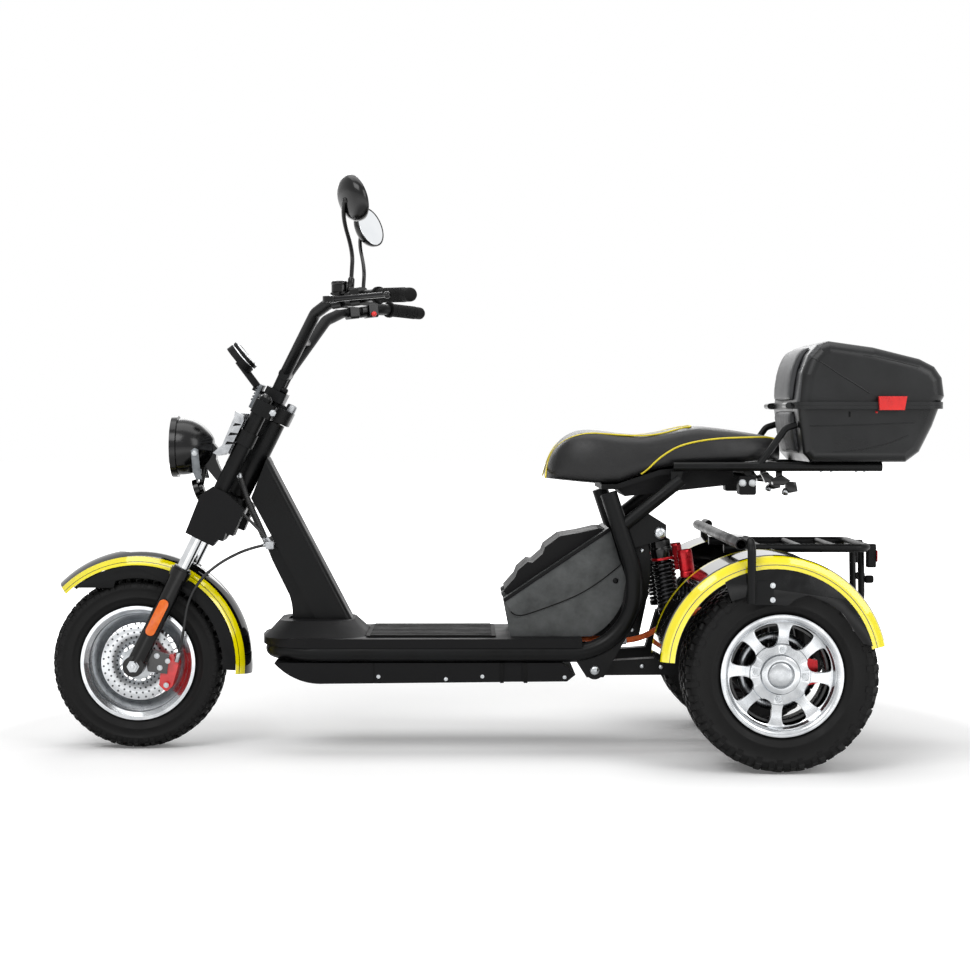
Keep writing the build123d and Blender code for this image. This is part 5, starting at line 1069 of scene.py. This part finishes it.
# side plates and bolts of the frame, the panels and the rack
steel = bothSides([(-0.399, 0.1472, 0.529, left, 0.015), (-0.245, 0.1562, 0.205, left, 0.0115),
                   (-0.359, 0.1282, 0.211, left, 0.0055), (-0.404, 0.1282, 0.209, left, 0.0055),
                   (-0.358, 0.1312, 0.486, left, 0.005), (-0.335, 0.1312, 0.297, left, 0.0045)])
plates = [slab([(-0.345, 0.545), (-0.368, 0.53), (-0.379, 0.47), (-0.378, 0.42), (-0.368, 0.36), (-0.352, 0.285),
                (-0.3, 0.275), (-0.318, 0.4)], side * 0.128, side * 0.1312) for side in (1, -1)]
finished("frame_side_plates", plates, powderCoat, "chassis")
setBolts("frame_domes", "dome", steel, zincSteel, "chassis")
hexes = bothSides([(-0.622, 0.4241, 0.4284, left, 0.0048), (-0.622, 0.4241, 0.3964, left, 0.0048),
                   (0.265, 0.1541, 0.19, left, 0.0036), (0.106, 0.1541, 0.184, left, 0.0036),
                   (0.02, 0.1541, 0.19, left, 0.0036), (-0.174, 0.1541, 0.188, left, 0.0036)])
setBolts("panel_bolts", "socket", hexes, zincSteel, "chassis")
studs = bothSides([(x, 0.14, 0.6741, (0, 0, -1), 0.003) for x in (-0.78, -0.804, -0.863, -0.882)])
setBolts("rack_studs", "hex", studs, zincSteel, "chassis")

# lamps under the seat and at the rack's end, and the signal cluster behind the seat
lampLenses, beads = [], []
for side in (1, -1):
    for x in (-0.5937, -0.6173):
        at, way = (x, side * 0.1441, 0.6463), (0, side, 0)
        lampLenses.append(turned([(0.0, 0.003), (0.0045, 0.0024), (0.0068, 0.0008), (0.007, -0.0008),
                                  (0.0, -0.0008)], at, way, 28))
        beads.append(turned([(0.007, -0.0006), (0.0086, -0.0006), (0.0086, 0.0016), (0.0072, 0.0016)], at, way, 28))
finished("work_lamp_lenses", lampLenses, clearLens, "chassis")
finished("work_lamp_rings", beads, zincSteel, "chassis")
tails = [slab(roundedOutline((0, 0), 0.05, 0.028, 0.005), 0.0, 0.0022, 0.0007) for side in (1, -1)]
for side, form in zip((1, -1), tails):
    form.transform(Matrix.Translation((-0.9213, side * 0.078, 0.47)) @ Matrix.Rotation(math.pi / 2, 4, "Z"))
finished("tail_lenses", tails, redLens, "chassis")
cluster = [slab(outline, side * low, side * high) for side in (1, -1) for outline, low, high in (
    ([(-0.655, 0.672), (-0.64, 0.668), (-0.65, 0.646), (-0.672, 0.65)], 0.112, 0.134),
    ([(-0.664, 0.655), (-0.69, 0.664), (-0.708, 0.652), (-0.692, 0.64), (-0.668, 0.642)], 0.108, 0.138),
    ([(-0.7, 0.65), (-0.722, 0.648), (-0.726, 0.626), (-0.706, 0.622), (-0.698, 0.634)], 0.112, 0.136),
    ([(-0.676, 0.674), (-0.69, 0.674), (-0.69, 0.655), (-0.676, 0.655)], 0.116, 0.13))]
finished("signal_cluster", cluster, glossPlastic, "chassis")
glints = [turned([(0.0, 0.0), (0.0075, 0.0), (0.0085, 0.008), (0.0075, 0.012), (0.0, 0.013)],
                 (-0.7, side * 0.124, 0.63), (0.3, side * 0.4, -0.8), 24) for side in (1, -1)]
finished("signal_lamps", glints, castAluminium, "chassis")
buffers = [turned([(0.0, 0.0), (0.008, 0.0), (0.0095, 0.004), (0.0095, 0.016), (0.008, 0.02), (0.0, 0.021)],
                  (-0.9035, side * 0.051, 0.411), (-1, 0, 0), 24) for side in (1, -1)]
finished("rack_buffers", buffers, hardRubber, "chassis")


# cord fittings: the hose union on the neck, the loom's clip, the banjo and the motor's gland
def stub(start, way, long, radius):  # thin ones are hexagons
    return turned([(0.0, 0.0), (radius * 0.9, 0.0), (radius, 0.001), (radius, long - 0.001), (radius * 0.9, long),
                   (0.0, long)], start, way, 6 if radius < 0.0065 else 24)


fittings = [slab(roundedOutline((0.53, 0.494), 0.02, 0.018, 0.003), 0.03, 0.066)]
fittings += [stub(*fitting) for fitting in (
    (cords["brake_hose_feed"]["points"][-1], (-0.024, -0.006, -0.026), 0.014, 0.005),
    (cords["brake_hose"]["points"][0], (-0.028, -0.007, 0.006), 0.012, 0.005),
    (cords["harness_conduit"]["points"][-1], (-0.015, -0.003, -0.036), 0.016, 0.007),
    (cords["harness_conduit"]["points"][0], (0.011, -0.002, 0.035), 0.012, 0.007),
    ((0.6035, 0.0495, 0.663), (-0.1, -1, 0), 0.026, 0.0045))]
finished("neck_fittings", fittings, castAluminium, "chassis")
finished("hose_banjo", stub(cords["brake_hose"]["points"][-1], (0.009, -0.005, -0.032), 0.024, 0.006), zincSteel,
         "steering")
glandTurn = math.radians(50)
gland = [turned([(0.0, 0.0), (0.011, 0.0), (0.011, -0.008), (0.0098, -0.009), (0.0098, -0.012), (0.0115, -0.013),
                 (0.0115, -0.028), (0.0, -0.028)],
                cords["motor_cable"]["points"][-1], (math.cos(glandTurn), 0, math.sin(glandTurn)), 28)]
for at, way in (((-0.318, 0.06, 0.2637), (-0.05, -0.002, 0.004)),
                ((-0.445, 0.0545, 0.3125), (-0.058, -0.003, 0.03))):
    gland.append(turned([(0.0077, -0.009), (0.0096, -0.009), (0.0096, 0.009), (0.0077, 0.009)], at, way, 28))
finished("cable_collars", gland, clearLens, "chassis")
print("frame dressed")

# top box: quilted pads, moulded creases, a wrap of grey vinyl over its front and a red reflector.
# a pad's tables are (z, x) of its front and its back, half is half its width and flutes its quilted ribs
clothTones = ("#27282a", "#3b3c3e")
padVinyl = vinylSkin("grey box vinyl", clothTones[1], clothTones[0], 0.46, grain=2.8)  # dull quilted cloth


def pad(name, front, back, half, flutes, body):
    low, high = front[0][0], front[-1][0]
    rings = []
    for step in range(41):
        turn = math.pi * step / 40
        z = low + (high - low) * (0.5 - 0.5 * math.cos(turn))
        full = min(1.0, math.sin(turn) ** 0.35 + 0.02)
        rear = between(back, z)
        deep = (between(front, z) - rear) * (0.35 + 0.65 * full)
        wide = half * (0.965 + 0.035 * full) - 0.003 * math.sin(turn)
        ring = []
        for index in range(121):  # across the face, from one side to the other
            t = -1 + 2 * index / 120
            crown = max(0.0, 1 - abs(t) ** 9) ** 0.42
            groove = 0.0011 * abs(math.sin(math.pi * t * flutes)) ** 0.4 if flutes else 0.0
            ripple = noise.noise(Vector((t * 9, z * 90, 0))) * 0.0009 * abs(t) ** 4
            ring.append((rear + deep * (0.12 + 0.88 * crown) - 0.0013 * bool(flutes) + groove * crown + ripple,
                         wide * t, z))
        rings.append(ring + [(rear, wide, z), (rear, 0.0, z), (rear, -wide, z)])
    made = finished(name.replace("pad", "cushion"), skin(rings), padVinyl, None)
    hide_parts(name)
    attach(made, body)


pad("lid_pad", ((0.8435, -0.706), (0.849, -0.7034), (0.88, -0.706), (0.912, -0.7113), (0.935, -0.7185),
                (0.952, -0.7264), (0.961, -0.734), (0.9655, -0.742)),
    ((0.8435, -0.7157), (0.905, -0.7253), (0.948, -0.7413), (0.964, -0.7545)), 0.1178, 0, "box_lid")
pad("box_pad", ((0.7165, -0.7297), (0.722, -0.7223), (0.746, -0.716), (0.77, -0.7102), (0.79, -0.707),
                (0.801, -0.7052), (0.813, -0.7072), (0.8148, -0.712)), ((0.7165, -0.7313), (0.8148, -0.7175)),
    0.1178, 9, "chassis")

# the shell's black plastic and the vinyl in front of it meet on a stitched line that leans with height
wrap = {"at": -0.6405, "lean": 0.1, "brow": (0.92, 0.75), "foot": (0.8, 0.17), "lip": (0.829, 0.0095),
        "stitch": 0.0013}  # brow and foot: the line bends above and below a height, by this much a metre
boxSkin, tree, shader, place = newMaterial("leather grained box shell", Specular_IOR_Level=0.28)
height = addNode(tree, "SeparateXYZ", {0: place}).outputs["Z"]
ahead = addNode(tree, "VectorMath", {0: place, 1: (1.0, 0.0, wrap["lean"])}, operation="DOT_PRODUCT")
ahead = addNode(tree, "Math", {0: ahead, 1: wrap["at"]}, operation="SUBTRACT")
for key, sign in (("brow", 1), ("foot", -1)):
    bendFrom, slope = wrap[key]
    past = addNode(tree, "Math", {0: height, 1: bendFrom}, operation="SUBTRACT")
    past = addNode(tree, "Math", {0: past, 1: sign * slope}, operation="MULTIPLY")
    past = addNode(tree, "Math", {0: past, 1: 0.0}, operation="MAXIMUM")
    ahead = addNode(tree, "Math", {0: ahead, 1: past}, operation="ADD")
wrapped = addNode(tree, "Math", {0: ahead, 1: 0.0}, operation="GREATER_THAN")
lip = addNode(tree, "Math", {0: height, 1: wrap["lip"][0], 2: wrap["lip"][1]}, operation="COMPARE")
lip = addNode(tree, "Math", {0: 1.0, 1: lip}, operation="SUBTRACT")
wrapped = addNode(tree, "Math", {0: wrapped, 1: lip}, operation="MULTIPLY")
stitch = addNode(tree, "Math", {0: ahead, 1: 0.0, 2: wrap["stitch"]}, operation="COMPARE")
clouds = addNode(tree, "TexNoise", {"Vector": place, "Scale": 13, "Detail": 5})
base = addNode(tree, "Mix", {0: wrapped, 6: twoTones(tree, clouds, "#0d0e0f", "#161718"),
                             7: twoTones(tree, clouds, *clothTones)}, data_type="RGBA")
grain = addNode(tree, "TexVoronoi", {"Vector": place, "Scale": 620}, feature="SMOOTH_F1")
fine = addNode(tree, "Bump", {"Height": grain, "Distance": 0.06 * mm})
tall = addNode(tree, "VectorMath", {0: place, 1: (12, 12, 160)}, operation="MULTIPLY")
pleats = addNode(tree, "TexNoise", {"Vector": tall, "Scale": 1, "Detail": 2})
fill(tree, shader, {
    "Base Color": addNode(tree, "Mix", {0: stitch, 6: base, 7: linear("#060606")}, data_type="RGBA"),
    "Roughness": addNode(tree, "MapRange", {"Value": clouds, **noiseRange, "To Min": 0.27, "To Max": 0.38}),
    "Normal": addNode(tree, "Bump", {"Height": pleats, "Distance": 1.1 * mm, "Strength": wrapped,
                                     "Normal": fine})})
wear("box_lid", boxSkin)
wear("box_base", boxSkin)

# moulded creases lie on the shell's own skin
creases = {
    "lid_crease": ("box_lid", "box_lid", [(-0.748, 0.9415), (-0.775, 0.927), (-0.812, 0.902), (-0.85, 0.879),
                                          (-0.8834, 0.8576)], 0.0016),
    "lid_slot": ("box_lid", "box_lid", [(-0.867, 0.9462), (-0.905, 0.941), (-0.95, 0.931), (-1.0, 0.9182)], 0.0009),
    "base_step": ("box_base", "chassis", [(-0.744, 0.781), (-0.82, 0.782), (-0.9, 0.7845), (-0.99, 0.789)], 0.0012),
    "base_crease": ("box_base", "chassis", [(-0.8, 0.719), (-0.87, 0.726), (-0.93, 0.74), (-0.975, 0.759)], 0.0012),
}
for name, (part, body, points, radius) in creases.items():
    for side, hand in hands:
        dense = []
        for (x0, z0), (x1, z1) in zip(points, points[1:]):
            dense += [(x0 + (x1 - x0) * t / 4, z0 + (z1 - z0) * t / 4) for t in range(4)]
        path = [onSide(part, x, z, side, 0.0002) for x, z in dense + [points[-1]]]
        pipe(f"{name}_{hand}", path, radius, boxSkin, body, sides=2)
red = [slab([(-1.003, 0.9384), (-1.04, 0.9196), (-1.0583, 0.8936), (-1.0614, 0.8944), (-1.0424, 0.9218),
             (-1.0044, 0.9414)], -0.092, 0.092)]
finished("lid_reflector", red, redLens, "box_lid")
setBolts("box_studs", "dome", bothSides([(-0.8997, 0.188, 0.8135, left, 0.0032)]), redPlastic, "chassis")
slots = [slab(roundedOutline((-0.8368, 0.808), 0.0045, 0.013, 0.0018), side * 0.1874, side * 0.1886, 0.0002)
         for side in (1, -1)]
finished("box_slots", slots, hardRubber, "chassis")
print("top box dressed")

# studio: a pale floor that keeps the shadow, soft boxes and a plain white world
studio = {"lens": 70.5, "eye": (0.049, 4.617, 0.797), "aim": (-0.0079, -1.0, -0.0347)}
camera = linked("camera", bpy.data.cameras.new("camera"))
camera.data.lens = studio["lens"]
camera.data.sensor_width = 36
camera.location = studio["eye"]
camera.rotation_euler = Vector(studio["aim"]).to_track_quat("-Z", "Y").to_euler()
bpy.context.scene.camera = camera

softBoxes = {
    "key": {"at": (1.8, 3.2, 3.4), "to": (0.1, 0.2, 0.5), "size": (2.6, 2.0), "power": 90},
    "fill": {"at": (-2.6, 2.6, 2.2), "to": (-0.3, 0.2, 0.5), "size": (2.0, 2.2), "power": 55},
    "top": {"at": (0.0, 0.0, 3.6), "to": (0.0, 0.0, 0.0), "size": (3.6, 2.2), "power": 60},
    "back": {"at": (0.3, -3.2, 2.4), "to": (0.0, 0.0, 0.6), "size": (3.0, 1.6), "power": 45},
}
for name, box in softBoxes.items():
    light = bpy.data.lights.new(name, "AREA")
    light.shape = "RECTANGLE"
    light.size, light.size_y = box["size"]
    light.energy = box["power"]
    holder = linked(name, light)
    holder.location = box["at"]
    holder.rotation_euler = (Vector(box["to"]) - Vector(box["at"])).to_track_quat("-Z", "Y").to_euler()

# the world is white to the lens and in reflections, and dim as a light
white = (1, 1, 1, 1)
world = bpy.data.worlds.new("studio")
bpy.context.scene.world = world
world.use_nodes = True
sky = world.node_tree
rays = addNode(sky, "LightPath").outputs
seen = addNode(sky, "Math", {0: rays["Is Camera Ray"], 1: rays["Is Glossy Ray"]}, operation="MAXIMUM")
seen = addNode(sky, "Math", {0: seen, 1: rays["Is Transmission Ray"]}, operation="MAXIMUM")
fill(sky, sky.nodes["Background"], {
    "Color": white, "Strength": addNode(sky, "MapRange", {"Value": seen, "To Min": 0.16, "To Max": 1.0})})

# away from the object the paper glows, so the floor fades into the world
floorMesh = bpy.data.meshes.new("floor")
floorMesh.from_pydata([(-30, -30, 0), (30, -30, 0), (30, 30, 0), (-30, 30, 0)], [], [(0, 1, 2, 3)])
floor = linked("floor", floorMesh)
floorPaper, tree, shader, place = newMaterial("white paper floor", Roughness=0.9, Specular_IOR_Level=0.0,
                                              Emission_Color=white)
fibre = addNode(tree, "TexNoise", {"Vector": place, "Scale": 400})
rays = addNode(tree, "LightPath").outputs
seen = addNode(tree, "Math", {0: rays["Is Camera Ray"], 1: rays["Is Glossy Ray"]}, operation="MAXIMUM")
away = addNode(tree, "MapRange", {"Value": addNode(tree, "VectorMath", {0: place}, operation="LENGTH"),
                                  "From Min": 1.25, "From Max": 2.2, "To Min": 0.12, "To Max": 1.6})
fill(tree, shader, {"Base Color": twoTones(tree, fibre, "#f7f7f7", "#ffffff"),
                    "Emission Strength": addNode(tree, "Math", {0: seen, 1: away}, operation="MULTIPLY")})
floorMesh.materials.append(floorPaper)
bpy.context.scene.view_settings.view_transform = "Standard"

print("studio ready")
